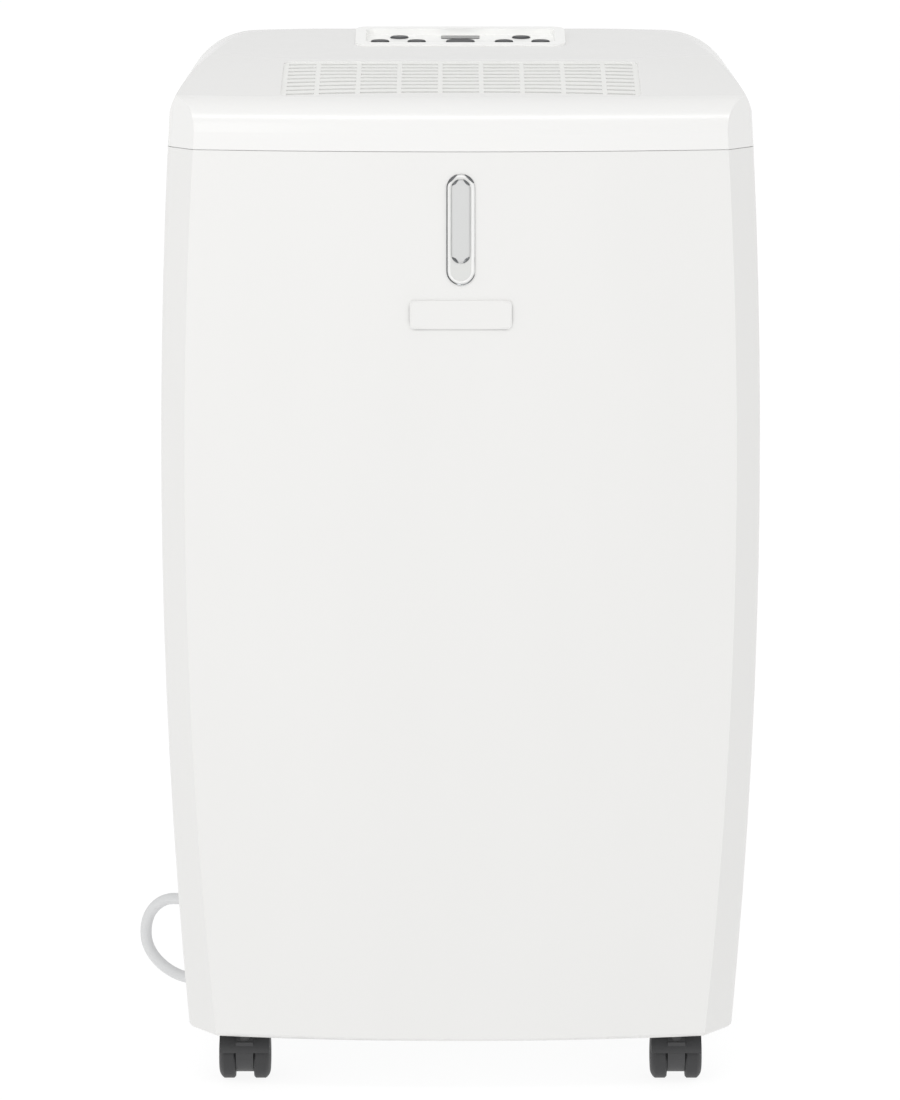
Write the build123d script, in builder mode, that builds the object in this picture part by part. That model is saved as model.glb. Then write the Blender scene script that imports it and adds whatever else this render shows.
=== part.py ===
from build123d import *
from math import atan2, cos, degrees, pi, radians, sin, sqrt, tan
import os

os.makedirs("parts", exist_ok=True)

# A portable compressor dehumidifier, in millimetres. Z is up, the floor is z = 0,
# the front faces -Y and the origin is on the floor under the middle of the casing.

# ---------------------------------------------------------------- driving sizes
HALF_WIDTH = 169.6          # widest half width of the barrel-shaped sides
WIDEST_Z = 345.0            # height of the widest place
SIDE_RADIUS = 3570.0        # barrel radius of the sides
FRONT_Y = -120.0            # front face, at the middle
REAR_Y = 120.0              # flat rear face
BOW_RADIUS = 758.0          # plan radius of the bowed front
CORNER_X = 155.0            # front corner edge at the widest height
CORNER_Y = -104.2
BAND_RUN = 14.6             # width and depth of the angled band beside the front
BAND_DEPTH = 21.2
REAR_CORNER = 14.0
BAND_CORNER = 16.0
BODY_LOW = 32.0             # lower edge of the casing
SEAM_Z = 538.0              # top of the casing, where the lid begins
SEAM_GAP = 0.35
SEAM_SKIN = 0.9             # outer skin of the covers that laps over the lid's edge
SEAM_LAP = 1.6
WALL = 2.5                  # moulded wall
LIP = 1.5                   # thickness of the hidden joint lips
SPLIT_Y = -18.0             # parting line between the front and rear covers
SPLIT_HALF_GAP = 0.4
TONGUE_REACH = 8.0          # the rear cover's lip laps this far inside the front cover
HIGH_Z = 640.0              # above everything
FAR = 200.0                 # beyond every side

# lid
LID_ROUND_Z = 548.0         # where the front of the lid starts to roll over
LID_SHOULDER_RADIUS = 44.0
LID_FRONT_RADIUS = 20.0
LID_FRONT_TILT = 16.0       # tilt of the roll-over's end, in degrees
CREASE_Y = -20.0            # crease between the outlet slope and the upper deck
CREASE_Z = 582.9
SLOPE_MID_Y = -62.0         # the outlet slope is slightly convex
SLOPE_MID_Z = 575.8
BOW_RISE = 1.2              # the rolled front rises this much more by the crease
BOW_SWING = 20.0            # half angle of the bowed front, wide enough for the rear corners
REAR_ROLL_HEIGHT = 18.0
DECK_TILT = 4.6
DECK_END_Y = 98.0
DECK_RISE = 10.5            # top of the deck's crown, above the crease
DECK_CROWN = 2.0            # the crown falls this much by the shoulders
SHOULDER_INSET = 5.0        # the shoulders end inside the widest half width
LID_LIP_INSET = 4.2         # the lid's hidden locating rim
LID_LIP_DROP = 8.0
LID_LIP_STEP = 2.4

# outlet grille
GRILLE_HALF = 97.5
GRILLE_CENTRE_Y = -62.0
GRILLE_SINK = 0.7           # how far the grille lies below the lid's skin
GRILLE_OPENING_WIDTH = 201.0
GRILLE_OPENING_DEPTH = 72.0
GRILLE_ROWS = 9
GRILLE_PITCH = 7.6
SLOT_WIDTH = 2.7
RIB_PITCH = 23.0
RIB_WIDTH = 2.6

# control pod
POD_Y = 55.0
POD_WIDTH = 122.0
POD_DEPTH = 50.0
POD_LIP = 4.2
PANEL_WIDTH = 110.0
PANEL_DEPTH = 38.0
PANEL_THICK = 3.0
BUTTON_RADIUS = 5.25
POWER_RADIUS = 8.25
BUTTON_ROW = 8.0            # distance of each button row from the middle of the panel
BUTTON_CLEAR = 0.3
BUTTON_PROUD = 0.7
BUTTON_DEEP = 6.0
PANEL_NECK_WIDTH = 113.0    # the part of the panel that passes through the lid
PANEL_NECK_DEPTH = 42.0
DISPLAY_Y = BUTTON_ROW + 1.0
DISPLAY_WIDTH = 22.5
DISPLAY_HEIGHT = 11.5
BOARD_DEEP = 9.5
BOARD_THICK = 1.6
SMALL_BUTTONS = [
    (-46.7, -BUTTON_ROW),
    (-25.4, -BUTTON_ROW),
    (25.4, -BUTTON_ROW),
    (46.7, -BUTTON_ROW),
    (-35.6, BUTTON_ROW),
    (35.6, BUTTON_ROW),
]
BUTTON_NAMES = [
    "timer_button",
    "fan_speed_button",
    "humidity_down_button",
    "humidity_up_button",
    "laundry_button",
    "auto_button",
]

# indicator window and badge on the front
WINDOW_Z = 495.0
WINDOW_WIDTH = 16.0
WINDOW_HEIGHT = 62.0
LENS_Z = 499.6
LENS_WIDTH = 10.8
LENS_HEIGHT = 46.8
INDICATOR_BOARD_DEPTH = 11.5
BADGE_Z = 447.5
BADGE_WIDTH = 57.0
BADGE_HEIGHT = 16.0
BADGE_PROUD = 0.8

# rear face
TANK_HALF = 118.0
TANK_LOW = 54.0
TANK_HIGH = 250.0
FILTER_HALF = 118.0
FILTER_LOW = 290.0
FILTER_HIGH = 500.0
HANDLE_Y = 46.0
HANDLE_Z = 498.0
HANDLE_LENGTH = 96.0
HANDLE_HEIGHT = 30.0
HANDLE_DEPTH = 24.0
GRIP_Z = 212.0
GRIP_WIDTH = 100.0
GRIP_HEIGHT = 30.0
GRIP_DEPTH = 22.0
SPOUT_Y = 60.0
SPOUT_RADIUS = 7.0
DRAIN_X = 60.0
DRAIN_Z = 270.0
DRAIN_RADIUS = 9.0
LEAD_X = -133.0
LEAD_Z = 55.5
LEAD_HOLE_RADIUS = 6.5

# casters
WHEEL_RADIUS = 14.0
WHEEL_OUTER_X = 14.75
WHEEL_INNER_X = 5.3
STEM_RADIUS = 4.0
STEM_TOP = 49.0
TRAIL = 9.0
CASTER_X = 124.0
CASTER_FRONT_Y = -84.0
CASTER_REAR_Y = 82.0
PIN_RADIUS = 2.5
RUNNING_CLEARANCE = 0.05

# screws that hold the rear cover
SCREW_X = 138.0
SCREW_LOW_Z = 43.0
SCREW_HIGH_Z = 525.0
SCREW_RADIUS = 1.75
SCREW_LENGTH = 12.0
SCREW_HEAD_RADIUS = 3.6
SCREW_HEAD_DEPTH = 1.6
BOSS_HALF = 8.0             # moulded blocks that the screws bite into
BOSS_DEPTH = 16.0

# inside the casing
PAN_INSET = 2.8             # outside of the base pan, from the casing's outside
PAN_WALL = 3.0
PAN_LOW = 34.0
PAN_FLOOR = 4.0
PAN_HIGH = 50.0
BAY_HALF = 121.0            # room for the tank
BAY_FRONT_Y = -4.0
BAY_WALL = 2.5
BAY_HIGH = 253.5
TANK_WALL = 2.4
TANK_CORNER = 12.0
TANK_TOP = 238.0
TANK_BODY_HALF = 114.0
TANK_FRONT_Y = 0.0
FLOAT_PIN_Y = 24.0
FLOAT_PIN_Z = 226.0
SCROLL_FRONT_Y = -92.0
SCROLL_REAR_Y = -22.0
SCROLL_WALL = 2.2
FAN_Z = 390.0
FAN_RADIUS = 82.0
FAN_FRONT_Y = -84.0
FAN_REAR_Y = -32.0
MOTOR_RADIUS = 34.0
SHAFT_RADIUS = 4.0
COIL_BLOCK_HALF = 100.0
COIL_BLOCK_LOW = 266.0
COIL_BLOCK_HIGH = 494.0
COIL_BLOCK_DEPTH = 28.0
CONDENSER_Y = 36.0
EVAPORATOR_Y = 72.0
FIN_PITCH = 10.0
FIN_THICK = 0.8
TUBE_RADIUS = 4.0
TUBE_ROWS = 8
COMPRESSOR_X = 40.0
COMPRESSOR_Y = -60.0
COMPRESSOR_RADIUS = 48.0
ACCUMULATOR_X = 104.0
ACCUMULATOR_Y = -50.0

# mains lead
LEAD_RADIUS = 3.5
COIL_X = -76.0
COIL_Y = 180.0
COIL_MEAN_RADIUS = 38.5
COIL_WIDTH = 14.4
COIL_HEIGHT = 21.6
TIE_WIDTH = 10.0
TIE_THICK = 1.1


def save(piece, name):
    """Label a finished piece and write it as its own STEP file."""
    piece.part.label = name
    export_step(piece.part, "parts/" + name + ".step")


def block(x_low, x_high, y_low, y_high, z_low, z_high):
    """A plain block between two corners, kept out of the running context."""
    body = Box(x_high - x_low, y_high - y_low, z_high - z_low, mode=Mode.PRIVATE)
    centre = ((x_low + x_high) / 2, (y_low + y_high) / 2, (z_low + z_high) / 2)
    return body.moved(Location(centre))


# ---------------------------------------------------------------- casing form
BAND_ANGLE = atan2(BAND_DEPTH, BAND_RUN)
BARREL_SWING = radians(7.5)
BARREL_X = HALF_WIDTH - SIDE_RADIUS


def barrel_side(inset):
    """The +X side of the casing form: one plan profile swung round a far axis."""
    edge_x = CORNER_X - inset * sin(BAND_ANGLE)
    edge_y = CORNER_Y + inset * cos(BAND_ANGLE)
    side_x = HALF_WIDTH - inset
    side_y = edge_y + (side_x - edge_x) * tan(BAND_ANGLE)
    ahead = 70.0
    rear_y = REAR_Y - inset
    past_middle = -2 * HALF_WIDTH - BARREL_X
    start = Plane(
        origin=(BARREL_X, 0, WIDEST_Z),
        x_dir=(cos(BARREL_SWING), 0, sin(BARREL_SWING)),
        z_dir=(-sin(BARREL_SWING), 0, cos(BARREL_SWING)),
    )
    with BuildPart() as side:
        with BuildSketch(start):
            with BuildLine():
                Polyline(
                    (edge_x - ahead / tan(BAND_ANGLE) - BARREL_X, edge_y - ahead),
                    (side_x - BARREL_X, side_y),
                    (side_x - BARREL_X, rear_y),
                    (past_middle, rear_y),
                    (past_middle, edge_y - ahead),
                    close=True,
                )
            make_face()
            outer = vertices().group_by(Axis.X)[-1]
            fillet(outer.sort_by(Axis.Y)[0], BAND_CORNER - inset)
            fillet(outer.sort_by(Axis.Y)[-1], REAR_CORNER - inset)
        revolve(axis=Axis((BARREL_X, 0, WIDEST_Z), (0, 1, 0)), revolution_arc=2 * degrees(BARREL_SWING))
    return side.part


def casing_form(inset, low, high):
    """Solid with the casing's bowed front and barrel sides, inset all round."""
    right = barrel_side(inset)
    radius = BOW_RADIUS - inset
    centre_y = FRONT_Y + BOW_RADIUS
    half = HALF_WIDTH + 20
    end_y = centre_y - sqrt(radius ** 2 - half ** 2)
    with BuildPart() as form:
        with BuildSketch(Plane.XY.offset(low)):
            with BuildLine():
                ThreePointArc((-half, end_y), (0, centre_y - radius), (half, end_y))
                Polyline((half, end_y), (half, REAR_Y + 20), (-half, REAR_Y + 20), (-half, end_y))
            make_face()
        extrude(amount=high - low)
        add(right, mode=Mode.INTERSECT)
        add(right.mirror(Plane.YZ), mode=Mode.INTERSECT)
    return form.part


def lid_form(inset, low):
    """Solid with the lid's outside, inset all round: rolled front, sloping outlet, deck and shoulders."""
    tilt = radians(LID_FRONT_TILT)
    front = FRONT_Y + inset
    roll_r = LID_FRONT_RADIUS - inset
    roll_turn = radians(90 - LID_FRONT_TILT) / 2
    roll_mid = (front + roll_r * (1 - cos(roll_turn)), LID_ROUND_Z + roll_r * sin(roll_turn))
    roll_end = (front + roll_r * (1 - sin(tilt)), LID_ROUND_Z + roll_r * cos(tilt))
    slope_start = (roll_end[0], roll_end[1] + BOW_RISE / 8)
    slope_mid = (SLOPE_MID_Y, SLOPE_MID_Z - inset)
    crease = (CREASE_Y, CREASE_Z - inset)
    deck_end = (DECK_END_Y, crease[1] + (DECK_END_Y - CREASE_Y) * tan(radians(DECK_TILT)))
    rear = REAR_Y - inset
    rear_z = deck_end[1] - REAR_ROLL_HEIGHT
    ahead = FRONT_Y - 40
    ahead_z = slope_start[1] - (slope_start[0] - ahead) * tan(tilt)
    half = HALF_WIDTH + 20
    bow_axis = Axis((0, FRONT_Y + BOW_RADIUS, 0), (0, 0, 1))
    with BuildPart() as rolled_front:
        with BuildSketch(Plane.YZ):
            with BuildLine():
                Line((front, low), (front, LID_ROUND_Z))
                ThreePointArc((front, LID_ROUND_Z), roll_mid, roll_end)
                ThreePointArc(
                    roll_end,
                    (SLOPE_MID_Y, slope_mid[1] + BOW_RISE / 2),
                    (CREASE_Y, crease[1] + BOW_RISE),
                )
                Polyline(
                    (CREASE_Y, crease[1] + BOW_RISE),
                    (REAR_Y + 60, crease[1] + BOW_RISE + 40),
                    (REAR_Y + 60, low),
                    (front, low),
                )
            make_face()
        revolve(axis=bow_axis, revolution_arc=2 * BOW_SWING)
    front_solid = rolled_front.part.rotate(bow_axis, -BOW_SWING)
    with BuildPart() as lid:
        with BuildSketch(Plane.YZ):
            with BuildLine():
                Polyline((ahead, low), (ahead, ahead_z), slope_start)
                ThreePointArc(slope_start, slope_mid, crease)
                Line(crease, deck_end)
                ThreePointArc(deck_end, (rear - 7.0, deck_end[1] - 4.6), (rear, rear_z))
                Polyline((rear, rear_z), (rear, low), (ahead, low))
            make_face()
        extrude(amount=half, both=True)
        with BuildSketch(Plane.XZ):
            with BuildLine():
                drop = LID_SHOULDER_RADIUS - inset
                side = HALF_WIDTH - SHOULDER_INSET - inset
                crown_z = CREASE_Z + DECK_RISE - inset
                shoulder_z = crown_z - DECK_CROWN
                crown = ThreePointArc((drop - side, shoulder_z), (0, crown_z), (side - drop, shoulder_z))
                TangentArc(crown @ 1, (side, shoulder_z - drop), tangent=crown % 1)
                Polyline(
                    (side, shoulder_z - drop),
                    (side, low),
                    (-side, low),
                    (-side, shoulder_z - drop),
                )
                TangentArc(crown @ 0, (-side, shoulder_z - drop), tangent=-(crown % 0))
            make_face()
        extrude(amount=half, both=True, mode=Mode.INTERSECT)
        right = barrel_side(inset)
        add(right, mode=Mode.INTERSECT)
        add(right.mirror(Plane.YZ), mode=Mode.INTERSECT)
        add(front_solid, mode=Mode.INTERSECT)
    return lid.part


# planes that the lid's fittings lie on
DECK_PLANE = Plane(
    origin=(0, POD_Y, CREASE_Z + (POD_Y - CREASE_Y) * tan(radians(DECK_TILT))),
    x_dir=(1, 0, 0),
    z_dir=(0, -sin(radians(DECK_TILT)), cos(radians(DECK_TILT))),
)
FRONT_PLANE = Plane(origin=(0, FRONT_Y, 0), x_dir=(1, 0, 0), z_dir=(0, -1, 0))
REAR_PLANE = Plane(origin=(0, REAR_Y, 0), x_dir=(-1, 0, 0), z_dir=(0, 1, 0))

SCREW_PLACES = [(x, z) for x in (-SCREW_X, SCREW_X) for z in (SCREW_LOW_Z, SCREW_HIGH_Z)]

# ---------------------------------------------------------------- front cover
with BuildPart() as front_cover:
    add(casing_form(0, BODY_LOW, SEAM_Z))
    fillet(faces().sort_by(Axis.Z)[0].edges(), WALL - 0.3)
    add(casing_form(WALL, BODY_LOW - 1, SEAM_Z + 1), mode=Mode.SUBTRACT)
    add(casing_form(SEAM_SKIN, SEAM_Z - SEAM_LAP, SEAM_Z + 1), mode=Mode.SUBTRACT)
    add(block(-FAR, FAR, SPLIT_Y - SPLIT_HALF_GAP, FAR, 0, HIGH_Z), mode=Mode.SUBTRACT)
    with BuildSketch(FRONT_PLANE.offset(1)):
        with Locations((0, WINDOW_Z)):
            SlotOverall(WINDOW_HEIGHT, WINDOW_WIDTH, rotation=90)
    extrude(amount=-8, mode=Mode.SUBTRACT)
save(front_cover, "front_cover")

# ---------------------------------------------------------------- rear cover
with BuildPart() as rear_cover:
    add(casing_form(0, BODY_LOW, SEAM_Z))
    fillet(faces().sort_by(Axis.Z)[0].edges(), WALL - 0.3)
    add(casing_form(WALL, BODY_LOW - 1, SEAM_Z + 1), mode=Mode.SUBTRACT)
    add(casing_form(SEAM_SKIN, SEAM_Z - SEAM_LAP, SEAM_Z + 1), mode=Mode.SUBTRACT)
    add(block(-FAR, FAR, -FAR, SPLIT_Y + SPLIT_HALF_GAP, 0, HIGH_Z), mode=Mode.SUBTRACT)
    tongue_ahead = block(-FAR, FAR, -FAR, SPLIT_Y - TONGUE_REACH, 0, HIGH_Z)
    tongue_behind = block(-FAR, FAR, SPLIT_Y + TONGUE_REACH, FAR, 0, HIGH_Z)
    add(casing_form(WALL, BODY_LOW + 22, SEAM_Z - 12) - casing_form(WALL + LIP, 0, HIGH_Z)
        - tongue_ahead - tongue_behind)
    with BuildSketch(REAR_PLANE.offset(1)):
        with Locations((0, (TANK_LOW + TANK_HIGH) / 2)):
            RectangleRounded(2 * TANK_HALF, TANK_HIGH - TANK_LOW, 8)
        with Locations((0, (FILTER_LOW + FILTER_HIGH) / 2)):
            RectangleRounded(2 * FILTER_HALF, FILTER_HIGH - FILTER_LOW, 8)
        with Locations((-DRAIN_X, DRAIN_Z)):
            Circle(DRAIN_RADIUS)
        with Locations((-LEAD_X, LEAD_Z)):
            Circle(LEAD_HOLE_RADIUS)
    extrude(amount=-6, mode=Mode.SUBTRACT)
    with BuildSketch(Plane.YZ):
        with Locations((HANDLE_Y, HANDLE_Z)):
            RectangleRounded(HANDLE_LENGTH, HANDLE_HEIGHT, 10)
    extrude(amount=FAR, both=True, mode=Mode.SUBTRACT)
    with Locations(*[REAR_PLANE * Location((x, z, 0)) for x, z in SCREW_PLACES]):
        CounterBoreHole(SCREW_RADIUS + 0.15, SCREW_HEAD_RADIUS + 0.15, SCREW_HEAD_DEPTH, depth=WALL + 2)
save(rear_cover, "rear_cover")

# ---------------------------------------------------------------- side handle cups
def handle_cup():
    """Moulded finger cup behind the opening in the +X side of the rear cover."""
    cup_wall = 2.0
    floor_x = HALF_WIDTH - HANDLE_DEPTH - 4.0
    with BuildPart() as cup:
        with BuildSketch(Plane.YZ.offset(floor_x - cup_wall)):
            with Locations((HANDLE_Y, HANDLE_Z)):
                RectangleRounded(HANDLE_LENGTH + 2 * cup_wall, HANDLE_HEIGHT + 2 * cup_wall, 11)
        extrude(amount=60)
        with BuildSketch(Plane.YZ.offset(floor_x)):
            with Locations((HANDLE_Y, HANDLE_Z)):
                RectangleRounded(HANDLE_LENGTH, HANDLE_HEIGHT, 10)
        extrude(amount=60, mode=Mode.SUBTRACT)
        add(casing_form(WALL, BODY_LOW, SEAM_Z), mode=Mode.INTERSECT)
    return cup


handle_cup_right = handle_cup()
save(handle_cup_right, "handle_cup_right")
with BuildPart() as handle_cup_left:
    add(handle_cup_right.part.mirror(Plane.YZ))
save(handle_cup_left, "handle_cup_left")

# ---------------------------------------------------------------- lid
with BuildPart() as top_cover:
    add(lid_form(0, SEAM_Z + SEAM_GAP))
    add(lid_form(WALL, SEAM_Z + SEAM_GAP - 1), mode=Mode.SUBTRACT)
    lip_top = SEAM_Z + SEAM_GAP + LID_LIP_STEP
    lip_inside = casing_form(LID_LIP_INSET + LIP + 0.5, 0, HIGH_Z)
    add(casing_form(SEAM_SKIN + 0.15, SEAM_Z + SEAM_GAP - SEAM_LAP, lip_top) - lip_inside)
    add(casing_form(LID_LIP_INSET, SEAM_Z - LID_LIP_DROP, lip_top) - lip_inside)
    with BuildSketch(Plane.XY.offset(SEAM_Z)):
        with Locations((0, GRILLE_CENTRE_Y)):
            RectangleRounded(GRILLE_OPENING_WIDTH, GRILLE_OPENING_DEPTH, 5)
    extrude(amount=100, mode=Mode.SUBTRACT)
    with BuildSketch(DECK_PLANE.offset(-20)):
        RectangleRounded(PANEL_NECK_WIDTH, PANEL_NECK_DEPTH, 4)
    extrude(amount=60, mode=Mode.SUBTRACT)
    for side in (-1, 1):
        screw_x = side * SCREW_X
        add(block(screw_x - BOSS_HALF, screw_x + BOSS_HALF, REAR_Y - BOSS_DEPTH, REAR_Y - WALL,
                  SCREW_HIGH_Z - BOSS_HALF + 1, SEAM_Z + 3))
    with BuildSketch(REAR_PLANE):
        with Locations(*SCREW_PLACES):
            Circle(SCREW_RADIUS)
    extrude(amount=-SCREW_LENGTH, mode=Mode.SUBTRACT)
save(top_cover, "top_cover")

# ---------------------------------------------------------------- outlet grille
with BuildPart() as outlet_grille:
    add(lid_form(GRILLE_SINK, SEAM_Z + 1) - lid_form(GRILLE_SINK + 2.2, SEAM_Z - 10))
    with BuildSketch(Plane.XY.offset(SEAM_Z)):
        with Locations((0, GRILLE_CENTRE_Y)):
            RectangleRounded(GRILLE_OPENING_WIDTH, GRILLE_OPENING_DEPTH, 5)
    extrude(amount=100, mode=Mode.INTERSECT)
    column = RIB_PITCH - RIB_WIDTH
    end_column = GRILLE_HALF - 3.5 * RIB_PITCH - RIB_WIDTH / 2
    with BuildSketch(Plane.XY.offset(SEAM_Z)):
        for row in range(GRILLE_ROWS):
            row_y = GRILLE_CENTRE_Y + (row - (GRILLE_ROWS - 1) / 2) * GRILLE_PITCH
            with Locations((0, row_y)):
                with GridLocations(RIB_PITCH, 1, 7, 1):
                    Rectangle(column, SLOT_WIDTH)
            for side in (-1, 1):
                with Locations((side * (GRILLE_HALF - end_column / 2), row_y)):
                    Rectangle(end_column, SLOT_WIDTH)
    extrude(amount=100, mode=Mode.SUBTRACT)
save(outlet_grille, "outlet_grille")

# ---------------------------------------------------------------- control pod
with BuildPart() as control_panel:
    with BuildSketch(DECK_PLANE):
        RectangleRounded(POD_WIDTH, POD_DEPTH, 7)
    extrude(amount=POD_LIP + 1)
    lip_tilt = degrees(atan2(POD_LIP - 0.8, POD_DEPTH))
    wedge_top = DECK_PLANE.offset((POD_LIP + 0.8) / 2).rotated((lip_tilt, 0, 0))
    split(bisect_by=wedge_top, keep=Keep.BOTTOM)
    with BuildSketch(DECK_PLANE):
        RectangleRounded(PANEL_WIDTH, PANEL_DEPTH, 5)
    extrude(amount=POD_LIP + 2, mode=Mode.SUBTRACT)
    with BuildSketch(DECK_PLANE):
        RectangleRounded(PANEL_NECK_WIDTH, PANEL_NECK_DEPTH, 4)
    extrude(amount=-PANEL_THICK)
    with BuildSketch(DECK_PLANE):
        with Locations(*SMALL_BUTTONS):
            Circle(BUTTON_RADIUS + BUTTON_CLEAR)
        with Locations((0, -BUTTON_ROW)):
            Circle(POWER_RADIUS + BUTTON_CLEAR)
        with Locations((0, DISPLAY_Y)):
            RectangleRounded(DISPLAY_WIDTH, DISPLAY_HEIGHT, 1.5)
    extrude(amount=-PANEL_THICK, mode=Mode.SUBTRACT)
save(control_panel, "control_panel")

with BuildPart() as display_window:
    with BuildSketch(DECK_PLANE.offset(-PANEL_THICK)):
        with Locations((0, DISPLAY_Y)):
            RectangleRounded(DISPLAY_WIDTH, DISPLAY_HEIGHT, 1.5)
    extrude(amount=PANEL_THICK + 0.3)
save(display_window, "display_window")


def push_button(place, radius):
    """Button cap with a slightly domed rim and a wider foot under the panel."""
    with BuildPart() as button:
        with BuildSketch(DECK_PLANE.offset(-BUTTON_DEEP)):
            with Locations(place):
                Circle(radius)
        extrude(amount=BUTTON_DEEP + BUTTON_PROUD)
        fillet(edges().filter_by(GeomType.CIRCLE).sort_by(Axis.Z)[-1], 0.5)
        with BuildSketch(DECK_PLANE.offset(-BUTTON_DEEP)):
            with Locations(place):
                Circle(radius + 1.2)
        extrude(amount=1.6)
    return button


for button_name, place in zip(BUTTON_NAMES, SMALL_BUTTONS):
    save(push_button(place, BUTTON_RADIUS), button_name)
save(push_button((0, -BUTTON_ROW), POWER_RADIUS), "power_button")

with BuildPart() as control_board:
    with BuildSketch(DECK_PLANE.offset(-BOARD_DEEP)):
        RectangleRounded(PANEL_WIDTH - 2, PANEL_DEPTH - 2, 2)
    extrude(amount=-BOARD_THICK)
    with BuildSketch(DECK_PLANE.offset(-BOARD_DEEP)):
        with Locations(*SMALL_BUTTONS, (0, -BUTTON_ROW)):
            Rectangle(5, 5)
    extrude(amount=BOARD_DEEP - BUTTON_DEEP - 1.4)
    with BuildSketch(DECK_PLANE.offset(-BOARD_DEEP)):
        with Locations((0, DISPLAY_Y)):
            Rectangle(DISPLAY_WIDTH - 2, DISPLAY_HEIGHT - 1.5)
    extrude(amount=BOARD_DEEP - PANEL_THICK)
save(control_board, "control_board")

# ---------------------------------------------------------------- indicator window
def upright_slot(centre_z, height, width):
    """Sketch of an upright capsule on the running plane."""
    with Locations((0, centre_z)):
        SlotOverall(height, width, rotation=90)


with BuildPart() as indicator_bezel:
    with BuildSketch(FRONT_PLANE.offset(-4)):
        upright_slot(WINDOW_Z, WINDOW_HEIGHT, WINDOW_WIDTH)
    extrude(amount=4.9)
    fillet(faces().sort_by(Axis.Y)[0].edges(), 0.7)
    with BuildSketch(FRONT_PLANE.offset(1)):
        upright_slot(WINDOW_Z, WINDOW_HEIGHT - 2.8, WINDOW_WIDTH - 2.8)
    extrude(amount=-1.6, mode=Mode.SUBTRACT)
    with BuildSketch(FRONT_PLANE.offset(1)):
        upright_slot(LENS_Z, LENS_HEIGHT, LENS_WIDTH)
    extrude(amount=-10, mode=Mode.SUBTRACT)
save(indicator_bezel, "indicator_bezel")

with BuildPart() as indicator_lens:
    with BuildSketch(FRONT_PLANE.offset(-6)):
        upright_slot(LENS_Z, LENS_HEIGHT, LENS_WIDTH)
    extrude(amount=6.3)
    fillet(faces().sort_by(Axis.Y)[0].edges(), 1.0)
save(indicator_lens, "indicator_lens")

board_face = FRONT_PLANE.offset(-INDICATOR_BOARD_DEPTH)
with BuildPart() as indicator_board:
    with BuildSketch(board_face):
        with Locations((0, WINDOW_Z)):
            Rectangle(22, 68)
    extrude(amount=-BOARD_THICK)
    with BuildSketch(board_face):
        with Locations((0, LENS_Z)):
            with GridLocations(1, 14, 1, 3):
                Rectangle(5, 5)
    extrude(amount=2)
    with BuildSketch(board_face):
        with Locations((0, WINDOW_Z)):
            with GridLocations(19, 64, 2, 2):
                Rectangle(2.4, 2.4)
    extrude(amount=INDICATOR_BOARD_DEPTH - WALL - 0.2)
save(indicator_board, "indicator_board")

# ---------------------------------------------------------------- badge plate
with BuildPart() as badge_plate:
    add(casing_form(-BADGE_PROUD, BODY_LOW, SEAM_Z) - casing_form(0, BODY_LOW - 1, SEAM_Z + 1))
    with BuildSketch(FRONT_PLANE.offset(10)):
        with Locations((0, BADGE_Z)):
            RectangleRounded(BADGE_WIDTH, BADGE_HEIGHT, 2.2)
    extrude(amount=-30, mode=Mode.INTERSECT)
save(badge_plate, "badge_plate")

# ---------------------------------------------------------------- base pan
CASTER_PLACES = [
    ("front_left", -CASTER_X, CASTER_FRONT_Y),
    ("front_right", CASTER_X, CASTER_FRONT_Y),
    ("rear_left", -CASTER_X, CASTER_REAR_Y),
    ("rear_right", CASTER_X, CASTER_REAR_Y),
]
SOCKET_RADIUS = 6.5
SOCKET_TOP = STEM_TOP + 0.5
STEM_PLACES = [(x, y) for name, x, y in CASTER_PLACES]

with BuildPart() as base_pan:
    add(casing_form(PAN_INSET, PAN_LOW, PAN_HIGH))
    add(casing_form(PAN_INSET + PAN_WALL, PAN_LOW + PAN_FLOOR, HIGH_Z), mode=Mode.SUBTRACT)
    with BuildSketch(Plane.XY.offset(PAN_LOW)):
        with Locations(*STEM_PLACES):
            Circle(SOCKET_RADIUS + 3)
    extrude(amount=SOCKET_TOP + 1.5 - PAN_LOW)
    with BuildSketch(Plane.XY.offset(PAN_LOW - 1)):
        with Locations(*STEM_PLACES):
            Circle(SOCKET_RADIUS)
    extrude(amount=SOCKET_TOP + 1 - PAN_LOW, mode=Mode.SUBTRACT)
    for side in (-1, 1):
        screw_x = side * SCREW_X
        add(block(screw_x - BOSS_HALF, screw_x + BOSS_HALF, REAR_Y - BOSS_DEPTH, REAR_Y - WALL - 0.4,
                  PAN_LOW, PAN_HIGH))
    with BuildSketch(REAR_PLANE):
        with Locations(*SCREW_PLACES):
            Circle(SCREW_RADIUS)
    extrude(amount=-SCREW_LENGTH, mode=Mode.SUBTRACT)
    gland_half = LEAD_HOLE_RADIUS + 4
    add(block(LEAD_X - gland_half, LEAD_X + gland_half, REAR_Y - 9, REAR_Y, LEAD_Z - gland_half, PAN_HIGH + 1),
        mode=Mode.SUBTRACT)
save(base_pan, "base_pan")

with BuildPart() as caster_sockets:
    with BuildSketch(Plane.XY.offset(PAN_LOW - 1)):
        with Locations(*STEM_PLACES):
            Circle(SOCKET_RADIUS)
            Circle(STEM_RADIUS + RUNNING_CLEARANCE, mode=Mode.SUBTRACT)
    extrude(amount=SOCKET_TOP + 1 - PAN_LOW)
save(caster_sockets, "caster_sockets")


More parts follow.
